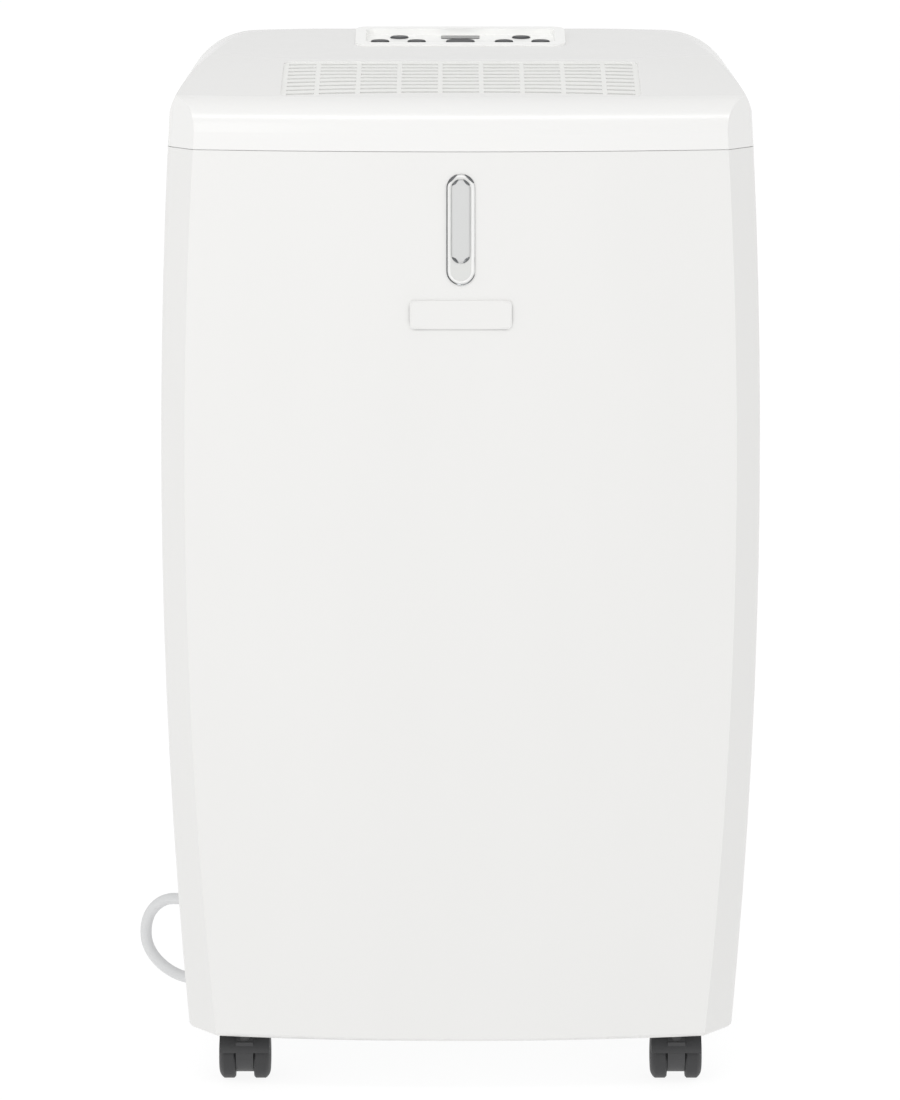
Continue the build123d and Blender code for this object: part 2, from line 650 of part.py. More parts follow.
# ---------------------------------------------------------------- casters
def caster_fork(stem_x, stem_y):
    """Swivel body: stem, web between the wheels and a hood over them."""
    axle_y = stem_y + TRAIL
    side_plane = Plane(origin=(stem_x, axle_y, WHEEL_RADIUS), x_dir=(0, 1, 0), z_dir=(1, 0, 0))
    web_half = WHEEL_INNER_X - 0.3
    hood_inner = WHEEL_RADIUS + 0.6
    hood_outer = WHEEL_RADIUS + 2.2
    with BuildPart() as fork:
        with BuildSketch(side_plane):
            Circle(hood_outer)
            Circle(hood_inner, mode=Mode.SUBTRACT)
            with Locations((0, 4 - hood_outer)):
                Rectangle(3 * hood_outer, 2 * hood_outer, mode=Mode.SUBTRACT)
        extrude(amount=WHEEL_OUTER_X - 0.4, both=True)
        with BuildSketch(side_plane):
            Circle(WHEEL_RADIUS - 5)
            with Locations((0, 5)):
                Rectangle(2 * hood_outer - 4, 10)
            with Locations((0, 4)):
                Circle(hood_outer - 2)
        extrude(amount=web_half, both=True)
        add(block(-60, 60, -60, 60, WHEEL_RADIUS + hood_outer, 60).moved(Location((stem_x, stem_y, 0))),
            mode=Mode.SUBTRACT)
        with BuildSketch(Plane.XY.offset(WHEEL_RADIUS + 4)):
            with Locations((stem_x, stem_y)):
                Circle(STEM_RADIUS)
        extrude(amount=STEM_TOP - WHEEL_RADIUS - 4)
        with BuildSketch(side_plane):
            Circle(PIN_RADIUS)
        extrude(amount=WHEEL_OUTER_X, both=True, mode=Mode.SUBTRACT)
    return fork


def caster_wheels(stem_x, stem_y):
    """Two crowned wheels, one at each side of the web, each turning on the pin."""
    axle = (stem_x, stem_y + TRAIL, WHEEL_RADIUS)
    hub_face = WHEEL_OUTER_X - 2.2
    with BuildPart() as wheels:
        for side in (-1, 1):
            with BuildSketch(Plane(origin=axle, x_dir=(side, 0, 0), z_dir=(0, side, 0))):
                with BuildLine():
                    Polyline(
                        (WHEEL_OUTER_X - 1.6, 0),
                        (WHEEL_OUTER_X - 1.6, 5),
                        (WHEEL_OUTER_X, 6),
                        (WHEEL_OUTER_X, WHEEL_RADIUS - 6),
                    )
                    ThreePointArc(
                        (WHEEL_OUTER_X, WHEEL_RADIUS - 6),
                        (WHEEL_OUTER_X - 0.7, WHEEL_RADIUS - 2.4),
                        (WHEEL_OUTER_X - 2.8, WHEEL_RADIUS),
                    )
                    Polyline(
                        (WHEEL_OUTER_X - 2.8, WHEEL_RADIUS),
                        (WHEEL_INNER_X + 1, WHEEL_RADIUS),
                        (WHEEL_INNER_X, WHEEL_RADIUS - 1),
                        (WHEEL_INNER_X, PIN_RADIUS + RUNNING_CLEARANCE),
                        (hub_face, PIN_RADIUS + RUNNING_CLEARANCE),
                        (hub_face, 0),
                        (WHEEL_OUTER_X - 1.6, 0),
                    )
                make_face()
            revolve(axis=Axis(axle, (1, 0, 0)))
    return wheels


def caster_pin(stem_x, stem_y):
    """Steel pin pressed through the web, carrying the wheels."""
    axle = (stem_x, stem_y + TRAIL, WHEEL_RADIUS)
    with BuildPart() as pin:
        with BuildSketch(Plane(origin=axle, x_dir=(0, 1, 0), z_dir=(1, 0, 0))):
            Circle(PIN_RADIUS)
        extrude(amount=WHEEL_OUTER_X - 2.4, both=True)
    return pin


for caster_name, stem_x, stem_y in CASTER_PLACES:
    save(caster_fork(stem_x, stem_y), "caster_fork_" + caster_name)
    save(caster_pin(stem_x, stem_y), "caster_pin_" + caster_name)
    save(caster_wheels(stem_x, stem_y), "caster_wheels_" + caster_name)

# ---------------------------------------------------------------- tank bay
with BuildPart() as tank_bay:
    add(block(-BAY_HALF - BAY_WALL, BAY_HALF + BAY_WALL, BAY_FRONT_Y - BAY_WALL, REAR_Y - WALL,
              TANK_LOW - BAY_WALL, BAY_HIGH + BAY_WALL))
    add(block(-BAY_HALF, BAY_HALF, BAY_FRONT_Y, REAR_Y, TANK_LOW, BAY_HIGH), mode=Mode.SUBTRACT)
    with BuildSketch(Plane.XY.offset(BAY_HIGH - 1)):
        with Locations((0, SPOUT_Y)):
            Circle(SPOUT_RADIUS + 0.5)
    extrude(amount=20, mode=Mode.SUBTRACT)
save(tank_bay, "tank_bay")

# ---------------------------------------------------------------- water tank
TANK_REAR_Y = REAR_Y - WALL - 0.5
TANK_MIDDLE_Y = (TANK_FRONT_Y + TANK_REAR_Y) / 2
TANK_DEPTH = TANK_REAR_Y - TANK_FRONT_Y

with BuildPart() as tank:
    with BuildSketch(Plane.XY.offset(TANK_LOW + 1)):
        with Locations((0, TANK_MIDDLE_Y)):
            RectangleRounded(2 * TANK_BODY_HALF, TANK_DEPTH, TANK_CORNER)
    extrude(amount=TANK_TOP - TANK_LOW - 1)
    fillet(faces().sort_by(Axis.Z)[0].edges(), 6)
    with BuildSketch(Plane.XY.offset(TANK_LOW + 1 + TANK_WALL)):
        with Locations((0, TANK_MIDDLE_Y)):
            RectangleRounded(
                2 * (TANK_BODY_HALF - TANK_WALL),
                TANK_DEPTH - 2 * TANK_WALL,
                TANK_CORNER - TANK_WALL,
            )
    extrude(amount=TANK_TOP, mode=Mode.SUBTRACT)
    with BuildSketch(REAR_PLANE.offset(-0.2)):
        with Locations((0, (TANK_LOW + TANK_HIGH) / 2)):
            RectangleRounded(2 * TANK_HALF - 1, TANK_HIGH - TANK_LOW - 1, 7.5)
    extrude(amount=-WALL - 0.3)
    with BuildSketch(REAR_PLANE.offset(-0.2)):
        with Locations((0, GRIP_Z)):
            RectangleRounded(GRIP_WIDTH + 4, GRIP_HEIGHT + 4, 10)
    extrude(amount=-GRIP_DEPTH - 2)
    with BuildSketch(REAR_PLANE):
        with Locations((0, GRIP_Z)):
            RectangleRounded(GRIP_WIDTH, GRIP_HEIGHT, 8)
    extrude(amount=-GRIP_DEPTH, mode=Mode.SUBTRACT)
save(tank, "tank")

LUG_XS = (-108.0, -72.0)
LUG_THICK = 3.0
FLOAT_PIN_RADIUS = 2.0
FLOAT_X = -90.0
FLOAT_Y = 67.0
FLOAT_Z = 201.0
FLOAT_WIDTH = 28.0
FLOAT_DEPTH = 34.0
FLOAT_HEIGHT = 22.0
FLOAT_ARM_WIDTH = 12.0
with BuildPart() as tank_lid:
    with BuildSketch(Plane.XY.offset(TANK_TOP)):
        with Locations((0, TANK_MIDDLE_Y)):
            RectangleRounded(2 * TANK_BODY_HALF, TANK_DEPTH, TANK_CORNER)
    extrude(amount=2.5)
    with BuildSketch(Plane.XY.offset(TANK_TOP)):
        with Locations((0, SPOUT_Y)):
            Circle(SPOUT_RADIUS + 12)
    extrude(amount=6, taper=20)
    with BuildSketch(Plane.XY.offset(TANK_TOP - 1)):
        with Locations((0, SPOUT_Y)):
            Circle(SPOUT_RADIUS + 4)
    extrude(amount=10, mode=Mode.SUBTRACT)
    for lug_x in LUG_XS:
        with BuildSketch(Plane.YZ.offset(lug_x - LUG_THICK / 2)):
            with Locations((FLOAT_PIN_Y, FLOAT_PIN_Z)):
                Circle(5)
            with Locations((FLOAT_PIN_Y, (FLOAT_PIN_Z + TANK_TOP) / 2)):
                Rectangle(10, TANK_TOP - FLOAT_PIN_Z)
            with Locations((FLOAT_PIN_Y, FLOAT_PIN_Z)):
                Circle(FLOAT_PIN_RADIUS + RUNNING_CLEARANCE, mode=Mode.SUBTRACT)
        extrude(amount=LUG_THICK)
save(tank_lid, "tank_lid")

with BuildPart() as tank_float:
    with BuildSketch(Plane.YZ.offset(LUG_XS[0] - 3)):
        with Locations((FLOAT_PIN_Y, FLOAT_PIN_Z)):
            Circle(FLOAT_PIN_RADIUS)
    extrude(amount=LUG_XS[1] - LUG_XS[0] + 6)
    with BuildSketch(Plane.YZ.offset(FLOAT_X - FLOAT_ARM_WIDTH / 2)):
        with BuildLine():
            Polyline(
                (FLOAT_PIN_Y - 4, FLOAT_PIN_Z - 4),
                (FLOAT_PIN_Y - 4, FLOAT_PIN_Z + 4),
                (FLOAT_PIN_Y + 4, FLOAT_PIN_Z + 4),
                (FLOAT_Y - 5, FLOAT_Z + 11),
                (FLOAT_Y - 5, FLOAT_Z + 3),
                close=True,
            )
        make_face()
    extrude(amount=FLOAT_ARM_WIDTH)
    with BuildSketch(Plane.YZ.offset(FLOAT_X - FLOAT_WIDTH / 2)):
        with Locations((FLOAT_Y, FLOAT_Z)):
            RectangleRounded(FLOAT_DEPTH, FLOAT_HEIGHT, 4)
    extrude(amount=FLOAT_WIDTH)
save(tank_float, "tank_float")

# ---------------------------------------------------------------- drip tray and drain cap
TRAY_HALF = 120.0
TRAY_FRONT_Y = 18.0
TRAY_REAR_Y = 99.0
TRAY_LOW = 261.0
TRAY_HIGH = 277.0
TRAY_WALL = 2.2
SPIGOT_RADIUS = 6.0
SPIGOT_BORE = 4.4
with BuildPart() as drip_tray:
    add(block(-TRAY_HALF, TRAY_HALF, TRAY_FRONT_Y, TRAY_REAR_Y, TRAY_LOW, TRAY_HIGH))
    add(block(TRAY_WALL - TRAY_HALF, TRAY_HALF - TRAY_WALL, TRAY_FRONT_Y + TRAY_WALL,
              TRAY_REAR_Y - TRAY_WALL, TRAY_LOW + TRAY_WALL, TRAY_HIGH + 1), mode=Mode.SUBTRACT)
    with BuildSketch(Plane.XY.offset(TRAY_LOW)):
        with Locations((0, SPOUT_Y)):
            Circle(SPOUT_RADIUS)
    extrude(amount=-12)
    with BuildSketch(Plane.XY.offset(TRAY_LOW - 13)):
        with Locations((0, SPOUT_Y)):
            Circle(SPOUT_RADIUS - 2)
    extrude(amount=20, mode=Mode.SUBTRACT)
    with BuildSketch(REAR_PLANE.offset(-2)):
        with Locations((-DRAIN_X, DRAIN_Z)):
            Circle(SPIGOT_RADIUS)
    extrude(amount=TRAY_REAR_Y - REAR_Y + 1)
    with BuildSketch(REAR_PLANE.offset(-2)):
        with Locations((-DRAIN_X, DRAIN_Z)):
            Circle(SPIGOT_BORE)
    extrude(amount=TRAY_REAR_Y - REAR_Y - 4, mode=Mode.SUBTRACT)
    for foot_x in (-90, 90):
        add(block(foot_x - 6, foot_x + 6, TRAY_FRONT_Y + 10, TRAY_REAR_Y - 10, BAY_HIGH + BAY_WALL, TRAY_LOW))
save(drip_tray, "drip_tray")

with BuildPart() as drain_cap:
    with BuildSketch(REAR_PLANE.offset(-0.2)):
        with Locations((-DRAIN_X, DRAIN_Z)):
            Circle(DRAIN_RADIUS - 0.5)
    extrude(amount=-1.5)
    with BuildSketch(REAR_PLANE.offset(-1)):
        with Locations((-DRAIN_X, DRAIN_Z)):
            Circle(SPIGOT_BORE - RUNNING_CLEARANCE)
    extrude(amount=-9)
    add(block(DRAIN_X - 7, DRAIN_X + 7, REAR_Y - 1, REAR_Y + 0.9, DRAIN_Z - 1.5, DRAIN_Z + 1.5))
save(drain_cap, "drain_cap")

# ---------------------------------------------------------------- filter
FRAME_BORDER = 8.0
FILTER_DEPTH = 15.5
FILTER_MIDDLE_Z = (FILTER_LOW + FILTER_HIGH) / 2
FILTER_WIDTH = 2 * FILTER_HALF - 1
FILTER_HEIGHT = FILTER_HIGH - FILTER_LOW - 1
LOUVRE_COUNT = 15
LOUVRE_HEIGHT = 3.2
LOUVRE_DEPTH = 4.0
LOUVRE_PITCH = (FILTER_HEIGHT - 2 * FRAME_BORDER) / (LOUVRE_COUNT + 1)
with BuildPart() as filter_frame:
    with BuildSketch(REAR_PLANE.offset(-0.2)):
        with Locations((0, FILTER_MIDDLE_Z)):
            RectangleRounded(FILTER_WIDTH, FILTER_HEIGHT, 7.5)
            Rectangle(FILTER_WIDTH - 2 * FRAME_BORDER, FILTER_HEIGHT - 2 * FRAME_BORDER, mode=Mode.SUBTRACT)
    extrude(amount=-FILTER_DEPTH)
    with BuildSketch(REAR_PLANE.offset(-0.2)):
        with Locations((0, FILTER_MIDDLE_Z)):
            with GridLocations(1, LOUVRE_PITCH, 1, LOUVRE_COUNT):
                Rectangle(FILTER_WIDTH - FRAME_BORDER, LOUVRE_HEIGHT)
            with GridLocations(FILTER_WIDTH / 4, 1, 3, 1):
                Rectangle(LOUVRE_DEPTH, FILTER_HEIGHT - FRAME_BORDER)
    extrude(amount=-LOUVRE_DEPTH)
    add(block(-30, 30, REAR_Y - 3, REAR_Y + 1, FILTER_HIGH - 6, FILTER_HIGH - 2), mode=Mode.SUBTRACT)
save(filter_frame, "filter_frame")

with BuildPart() as filter_mesh:
    with BuildSketch(REAR_PLANE.offset(-0.2 - FILTER_DEPTH)):
        with Locations((0, FILTER_MIDDLE_Z)):
            Rectangle(FILTER_WIDTH - 2 * FRAME_BORDER, FILTER_HEIGHT - 2 * FRAME_BORDER)
    extrude(amount=1)
save(filter_mesh, "filter_mesh")


# ---------------------------------------------------------------- heat exchangers
def heat_exchanger(middle_y):
    """Finned block: upright plates on a serpentine tube, brazed into one piece."""
    tube_pitch = (COIL_BLOCK_HIGH - COIL_BLOCK_LOW) / TUBE_ROWS
    first_z = COIL_BLOCK_LOW + tube_pitch / 2
    fins = int(2 * COIL_BLOCK_HALF / FIN_PITCH) + 1
    with BuildPart() as exchanger:
        with BuildSketch(Plane.XY.offset(COIL_BLOCK_LOW)):
            with Locations((0, middle_y)):
                with GridLocations(FIN_PITCH, 1, fins, 1):
                    Rectangle(FIN_THICK, COIL_BLOCK_DEPTH)
        extrude(amount=COIL_BLOCK_HIGH - COIL_BLOCK_LOW)
        with BuildSketch(Plane.YZ.offset(-COIL_BLOCK_HALF - 6)):
            with Locations((middle_y, (COIL_BLOCK_LOW + COIL_BLOCK_HIGH) / 2)):
                with GridLocations(1, tube_pitch, 1, TUBE_ROWS):
                    Circle(TUBE_RADIUS)
        extrude(amount=2 * COIL_BLOCK_HALF + 12)
        for row in range(TUBE_ROWS - 1):
            side = 1 if row % 2 else -1
            bend_z = first_z + tube_pitch * (row + 0.5)
            with BuildSketch(Plane.YZ.offset(side * (COIL_BLOCK_HALF + 6))):
                with Locations((middle_y, bend_z + tube_pitch / 2)):
                    Circle(TUBE_RADIUS)
            bend_axis = Axis((side * (COIL_BLOCK_HALF + 6), middle_y, bend_z), (0, side, 0))
            revolve(axis=bend_axis, revolution_arc=180)
    return exchanger


save(heat_exchanger(EVAPORATOR_Y), "evaporator")
save(heat_exchanger(CONDENSER_Y), "condenser")

# ---------------------------------------------------------------- fan, motor and scroll
SCROLL_TOP = 552.0
DUCT_HALF = 98.0
SCROLL_NEAR = 95.0
SCROLL_FAR = 116.0
SCROLL_BELOW = 106.0


def scroll_outline(inset):
    """Snail outline in the XZ plane, with its duct open to the top."""
    duct = DUCT_HALF - inset
    tongue = (inset - SCROLL_NEAR, FAN_Z + 20)
    far_side = (SCROLL_FAR - inset, FAN_Z + 14)
    with BuildLine() as outline:
        Polyline((-duct, SCROLL_TOP + 20), (-duct, FAN_Z + 80), tongue)
        ThreePointArc(tongue, (6.0, FAN_Z - SCROLL_BELOW + inset), far_side)
        Polyline(far_side, (duct, FAN_Z + 110), (duct, SCROLL_TOP + 20), (-duct, SCROLL_TOP + 20))
    return outline.line


with BuildPart() as fan_scroll:
    with BuildSketch(Plane.XZ.offset(-SCROLL_REAR_Y)):
        add(scroll_outline(0))
        make_face()
    extrude(amount=SCROLL_REAR_Y - SCROLL_FRONT_Y)
    with BuildSketch(Plane.XZ.offset(-SCROLL_REAR_Y + SCROLL_WALL)):
        add(scroll_outline(SCROLL_WALL))
        make_face()
    extrude(amount=SCROLL_REAR_Y - SCROLL_FRONT_Y - 2 * SCROLL_WALL, mode=Mode.SUBTRACT)
    add(block(-FAR, FAR, -FAR, FAR, SCROLL_TOP, HIGH_Z), mode=Mode.SUBTRACT)
    with BuildSketch(Plane.XZ.offset(-SCROLL_REAR_Y - 1)):
        with Locations((0, FAN_Z)):
            Circle(FAN_RADIUS - 16)
    extrude(amount=5, mode=Mode.SUBTRACT)
save(fan_scroll, "fan_scroll")

MOTOR_FRONT_Y = SCROLL_FRONT_Y + SCROLL_WALL
MOTOR_REAR_Y = -63.0
SHAFT_END_Y = -38.0
with BuildPart() as fan_motor:
    with BuildSketch(Plane.XZ.offset(-MOTOR_FRONT_Y)):
        with Locations((0, FAN_Z)):
            Circle(MOTOR_RADIUS)
    extrude(amount=MOTOR_FRONT_Y - MOTOR_REAR_Y)
    fillet(faces().sort_by(Axis.Y)[-1].edges(), 4)
    with BuildSketch(Plane.XZ.offset(-MOTOR_FRONT_Y)):
        with Locations((0, FAN_Z)):
            Circle(SHAFT_RADIUS)
    extrude(amount=MOTOR_FRONT_Y - SHAFT_END_Y)
save(fan_motor, "fan_motor")

BLADES = 26
BLADE_RING = 15.0
BLADE_THICK = 1.6
BLADE_ANGLE = 24.0
FAN_DISC_Y = -60.0
FAN_DISC_THICK = 2.0
FAN_HUB_RADIUS = 9.0
FAN_HUB_LENGTH = 20.0
with BuildPart() as fan_wheel:
    with BuildSketch(Plane.XZ.offset(-FAN_DISC_Y)):
        with Locations((0, FAN_Z)):
            Circle(FAN_RADIUS)
            Circle(SHAFT_RADIUS + RUNNING_CLEARANCE, mode=Mode.SUBTRACT)
    extrude(amount=-FAN_DISC_THICK)
    with BuildSketch(Plane.XZ.offset(-FAN_DISC_Y)):
        with Locations((0, FAN_Z)):
            Circle(FAN_HUB_RADIUS)
            Circle(SHAFT_RADIUS + RUNNING_CLEARANCE, mode=Mode.SUBTRACT)
    extrude(amount=-FAN_HUB_LENGTH)
    for ring_y in (FAN_FRONT_Y - FAN_DISC_THICK, FAN_REAR_Y - FAN_DISC_THICK):
        with BuildSketch(Plane.XZ.offset(-ring_y)):
            with Locations((0, FAN_Z)):
                Circle(FAN_RADIUS)
                Circle(FAN_RADIUS - BLADE_RING, mode=Mode.SUBTRACT)
        extrude(amount=-FAN_DISC_THICK)
    with BuildSketch(Plane.XZ.offset(-FAN_FRONT_Y)):
        with Locations((0, FAN_Z)):
            with PolarLocations(FAN_RADIUS - BLADE_RING / 2, BLADES):
                Rectangle(BLADE_RING - 2, BLADE_THICK, rotation=BLADE_ANGLE)
    extrude(amount=FAN_FRONT_Y - FAN_REAR_Y + FAN_DISC_THICK)
save(fan_wheel, "fan_wheel")

# ---------------------------------------------------------------- compressor
CAN_LOW = 56.0
CAN_HIGH = 226.0
FOOT_LOW = 44.0
FOOT_THICK = 2.5
FOOT_REACH = 50.0
ACCUMULATOR_RADIUS = 14.0
ACCUMULATOR_LOW = 82.0
ACCUMULATOR_HIGH = 186.0
NECK_RADIUS = 5.0
STUB_TOP = 236.0
ACCUMULATOR_TOP = 192.0
FEET = [
    (COMPRESSOR_X + FOOT_REACH * cos(radians(a)), COMPRESSOR_Y + FOOT_REACH * sin(radians(a)))
    for a in (90, 210, 330)
]

with BuildPart() as compressor:
    with BuildSketch(Plane.XY.offset(FOOT_LOW)):
        with Locations(*FEET):
            Circle(9)
        with Locations((COMPRESSOR_X, COMPRESSOR_Y)):
            Circle(COMPRESSOR_RADIUS - 6)
        with Locations(*FEET):
            Circle(NECK_RADIUS, mode=Mode.SUBTRACT)
    extrude(amount=FOOT_THICK)
    with BuildSketch(Plane.XY.offset(FOOT_LOW)):
        with Locations((COMPRESSOR_X, COMPRESSOR_Y)):
            Circle(COMPRESSOR_RADIUS - 14)
    extrude(amount=CAN_LOW - FOOT_LOW)
    with BuildSketch(Plane.XY.offset(CAN_LOW)):
        with Locations((COMPRESSOR_X, COMPRESSOR_Y)):
            Circle(COMPRESSOR_RADIUS)
    extrude(amount=CAN_HIGH - CAN_LOW)
    fillet(faces().sort_by(Axis.Z)[-1].edges(), 18)
    low_rim = edges().filter_by(GeomType.CIRCLE).filter_by_position(Axis.Z, CAN_LOW - 0.1, CAN_LOW + 0.1)
    fillet(low_rim.sort_by(SortBy.RADIUS)[-1], 8)
    with BuildSketch(Plane.XY.offset(CAN_HIGH - 4)):
        with Locations((COMPRESSOR_X, COMPRESSOR_Y)):
            Circle(TUBE_RADIUS)
    extrude(amount=STUB_TOP - CAN_HIGH + 4)
    with BuildSketch(Plane.XY.offset(CAN_HIGH - 2)):
        with Locations((COMPRESSOR_X - 20, COMPRESSOR_Y)):
            RectangleRounded(18, 24, 4)
    extrude(amount=9)
    with BuildSketch(Plane.XY.offset(ACCUMULATOR_LOW)):
        with Locations((ACCUMULATOR_X, ACCUMULATOR_Y)):
            Circle(ACCUMULATOR_RADIUS)
    extrude(amount=ACCUMULATOR_HIGH - ACCUMULATOR_LOW)
    rounds = edges().filter_by(GeomType.CIRCLE)
    rims = rounds.filter_by_position(Axis.Z, ACCUMULATOR_HIGH - 1, ACCUMULATOR_HIGH + 1)
    fillet(rims.sort_by(SortBy.RADIUS)[-1], 6)
    with BuildSketch(Plane.XY.offset(ACCUMULATOR_HIGH - 6)):
        with Locations((ACCUMULATOR_X, ACCUMULATOR_Y)):
            Circle(TUBE_RADIUS)
    extrude(amount=ACCUMULATOR_TOP - ACCUMULATOR_HIGH + 6)
    add(block(COMPRESSOR_X + 30, ACCUMULATOR_X, ACCUMULATOR_Y - 4, ACCUMULATOR_Y + 4, 100, 106))
save(compressor, "compressor")

with BuildPart() as compressor_mounts:
    for low, high, radius in (
        (PAN_LOW + PAN_FLOOR, FOOT_LOW, 8.0),
        (FOOT_LOW, FOOT_LOW + FOOT_THICK, NECK_RADIUS),
        (FOOT_LOW + FOOT_THICK, FOOT_LOW + FOOT_THICK + 2.5, 7.0),
    ):
        with BuildSketch(Plane.XY.offset(low)):
            with Locations(*FEET):
                Circle(radius)
        extrude(amount=high - low)
save(compressor_mounts, "compressor_mounts")


# ---------------------------------------------------------------- refrigerant pipes
def pipe(points, bend, radius):
    """Round pipe along straight runs joined by tangent bends, as a loose solid."""
    start = Plane(origin=points[0], z_dir=Vector(*points[1]) - Vector(*points[0]))
    with BuildPart() as run:
        with BuildLine():
            FilletPolyline(*points, radius=bend)
        with BuildSketch(start):
            Circle(radius)
        sweep()
    return run.part


PIPE_RADIUS = 3.5
PIPE_BEND = 9.0
DISCHARGE_X = 130.5
SUCTION_X = 135.0
DISCHARGE_Z = 262.0
SUCTION_Z = 240.0
CAPILLARY_RADIUS = 2.0
EXCHANGER_END = COIL_BLOCK_HALF + 6
TOP_TUBE_Z = COIL_BLOCK_HIGH - (COIL_BLOCK_HIGH - COIL_BLOCK_LOW) / TUBE_ROWS / 2
LOW_TUBE_Z = COIL_BLOCK_LOW + (COIL_BLOCK_HIGH - COIL_BLOCK_LOW) / TUBE_ROWS / 2
discharge_pipe = pipe(
    [
        (COMPRESSOR_X, COMPRESSOR_Y, STUB_TOP),
        (COMPRESSOR_X, COMPRESSOR_Y, DISCHARGE_Z),
        (DISCHARGE_X, COMPRESSOR_Y, DISCHARGE_Z),
        (DISCHARGE_X, CONDENSER_Y, 300),
        (DISCHARGE_X, CONDENSER_Y, TOP_TUBE_Z),
        (EXCHANGER_END, CONDENSER_Y, TOP_TUBE_Z),
    ],
    PIPE_BEND,
    PIPE_RADIUS,
)
suction_pipe = pipe(
    [
        (EXCHANGER_END, EVAPORATOR_Y, TOP_TUBE_Z),
        (SUCTION_X, EVAPORATOR_Y, TOP_TUBE_Z),
        (SUCTION_X, EVAPORATOR_Y, 330),
        (SUCTION_X, ACCUMULATOR_Y, SUCTION_Z),
        (ACCUMULATOR_X, ACCUMULATOR_Y, SUCTION_Z),
        (ACCUMULATOR_X, ACCUMULATOR_Y, ACCUMULATOR_TOP),
    ],
    PIPE_BEND,
    PIPE_RADIUS,
)
expansion_pipe = pipe(
    [
        (EXCHANGER_END, CONDENSER_Y, LOW_TUBE_Z),
        (EXCHANGER_END + 10, CONDENSER_Y, LOW_TUBE_Z),
        (EXCHANGER_END + 10, EVAPORATOR_Y, LOW_TUBE_Z),
        (EXCHANGER_END, EVAPORATOR_Y, LOW_TUBE_Z),
    ],
    6.0,
    CAPILLARY_RADIUS,
)
with BuildPart() as refrigerant_pipes:
    add(discharge_pipe)
    add(suction_pipe)
    add(expansion_pipe)
save(refrigerant_pipes, "refrigerant_pipes")

# ---------------------------------------------------------------- electrics
BOX_X = (-135.0, -22.0)
BOX_Y = (-97.0, BAY_FRONT_Y - BAY_WALL)
BOX_Z = (58.0, 190.0)
BOX_WALL = 2.0
with BuildPart() as electrics_box:
    add(block(*BOX_X, *BOX_Y, *BOX_Z))
    add(block(BOX_X[0] + BOX_WALL, BOX_X[1] - BOX_WALL, BOX_Y[0] + BOX_WALL, BOX_Y[1] - BOX_WALL,
              BOX_Z[0] + BOX_WALL, BOX_Z[1] + 1), mode=Mode.SUBTRACT)
save(electrics_box, "electrics_box")

BOARD_Y = BOX_Y[1] - BOX_WALL - 8
with BuildPart() as main_board:
    add(block(BOX_X[0] + 5, BOX_X[1] - 5, BOARD_Y - BOARD_THICK, BOARD_Y, BOX_Z[0] + 8, BOX_Z[1] - 6))
    for post_x in (BOX_X[0] + 12, BOX_X[1] - 12):
        for post_z in (BOX_Z[0] + 14, BOX_Z[1] - 12):
            with BuildSketch(Plane.XZ.offset(-BOARD_Y)):
                with Locations((post_x, post_z)):
                    Circle(3)
            extrude(amount=-8)
    add(block(-118, -92, BOARD_Y - 26, BOARD_Y - BOARD_THICK, 130, 164))
    add(block(-84, -62, BOARD_Y - 18, BOARD_Y - BOARD_THICK, 76, 96))
    with BuildSketch(Plane.XZ.offset(BOARD_THICK - BOARD_Y)):
        with Locations((-48, 150)):
            Circle(15)
        with Locations((-112, 88)):
            Circle(8)
        with Locations((-48, 92)):
            Rectangle(30, 8)
    extrude(amount=30)
save(main_board, "main_board")

with BuildPart() as tank_switch:
    add(block(-104, -78, BAY_FRONT_Y - BAY_WALL - 12, BAY_FRONT_Y - BAY_WALL, 208, 224))
    add(block(-99, -83, BAY_FRONT_Y - BAY_WALL - 16, BAY_FRONT_Y - BAY_WALL - 12, 213, 219))
save(tank_switch, "tank_switch")

with BuildPart() as humidity_sensor:
    add(block(126, 146, REAR_Y - WALL - 10, REAR_Y - WALL, 380, 410))
    add(block(131, 141, REAR_Y - WALL - 13, REAR_Y - WALL - 10, 387, 403))
save(humidity_sensor, "humidity_sensor")

with BuildPart() as casing_screws:
    for x, z in SCREW_PLACES:
        with BuildSketch(Plane(origin=(x, REAR_Y - 0.1, z), x_dir=(1, 0, 0), z_dir=(0, -1, 0))):
            Circle(SCREW_HEAD_RADIUS)
            RegularPolygon(1.5, 6, mode=Mode.SUBTRACT)
        extrude(amount=SCREW_HEAD_DEPTH - 0.1)
        with BuildSketch(Plane(origin=(x, REAR_Y - 0.8, z), x_dir=(1, 0, 0), z_dir=(0, -1, 0))):
            Circle(SCREW_RADIUS)
        extrude(amount=SCREW_LENGTH - 0.8)
save(casing_screws, "casing_screws")

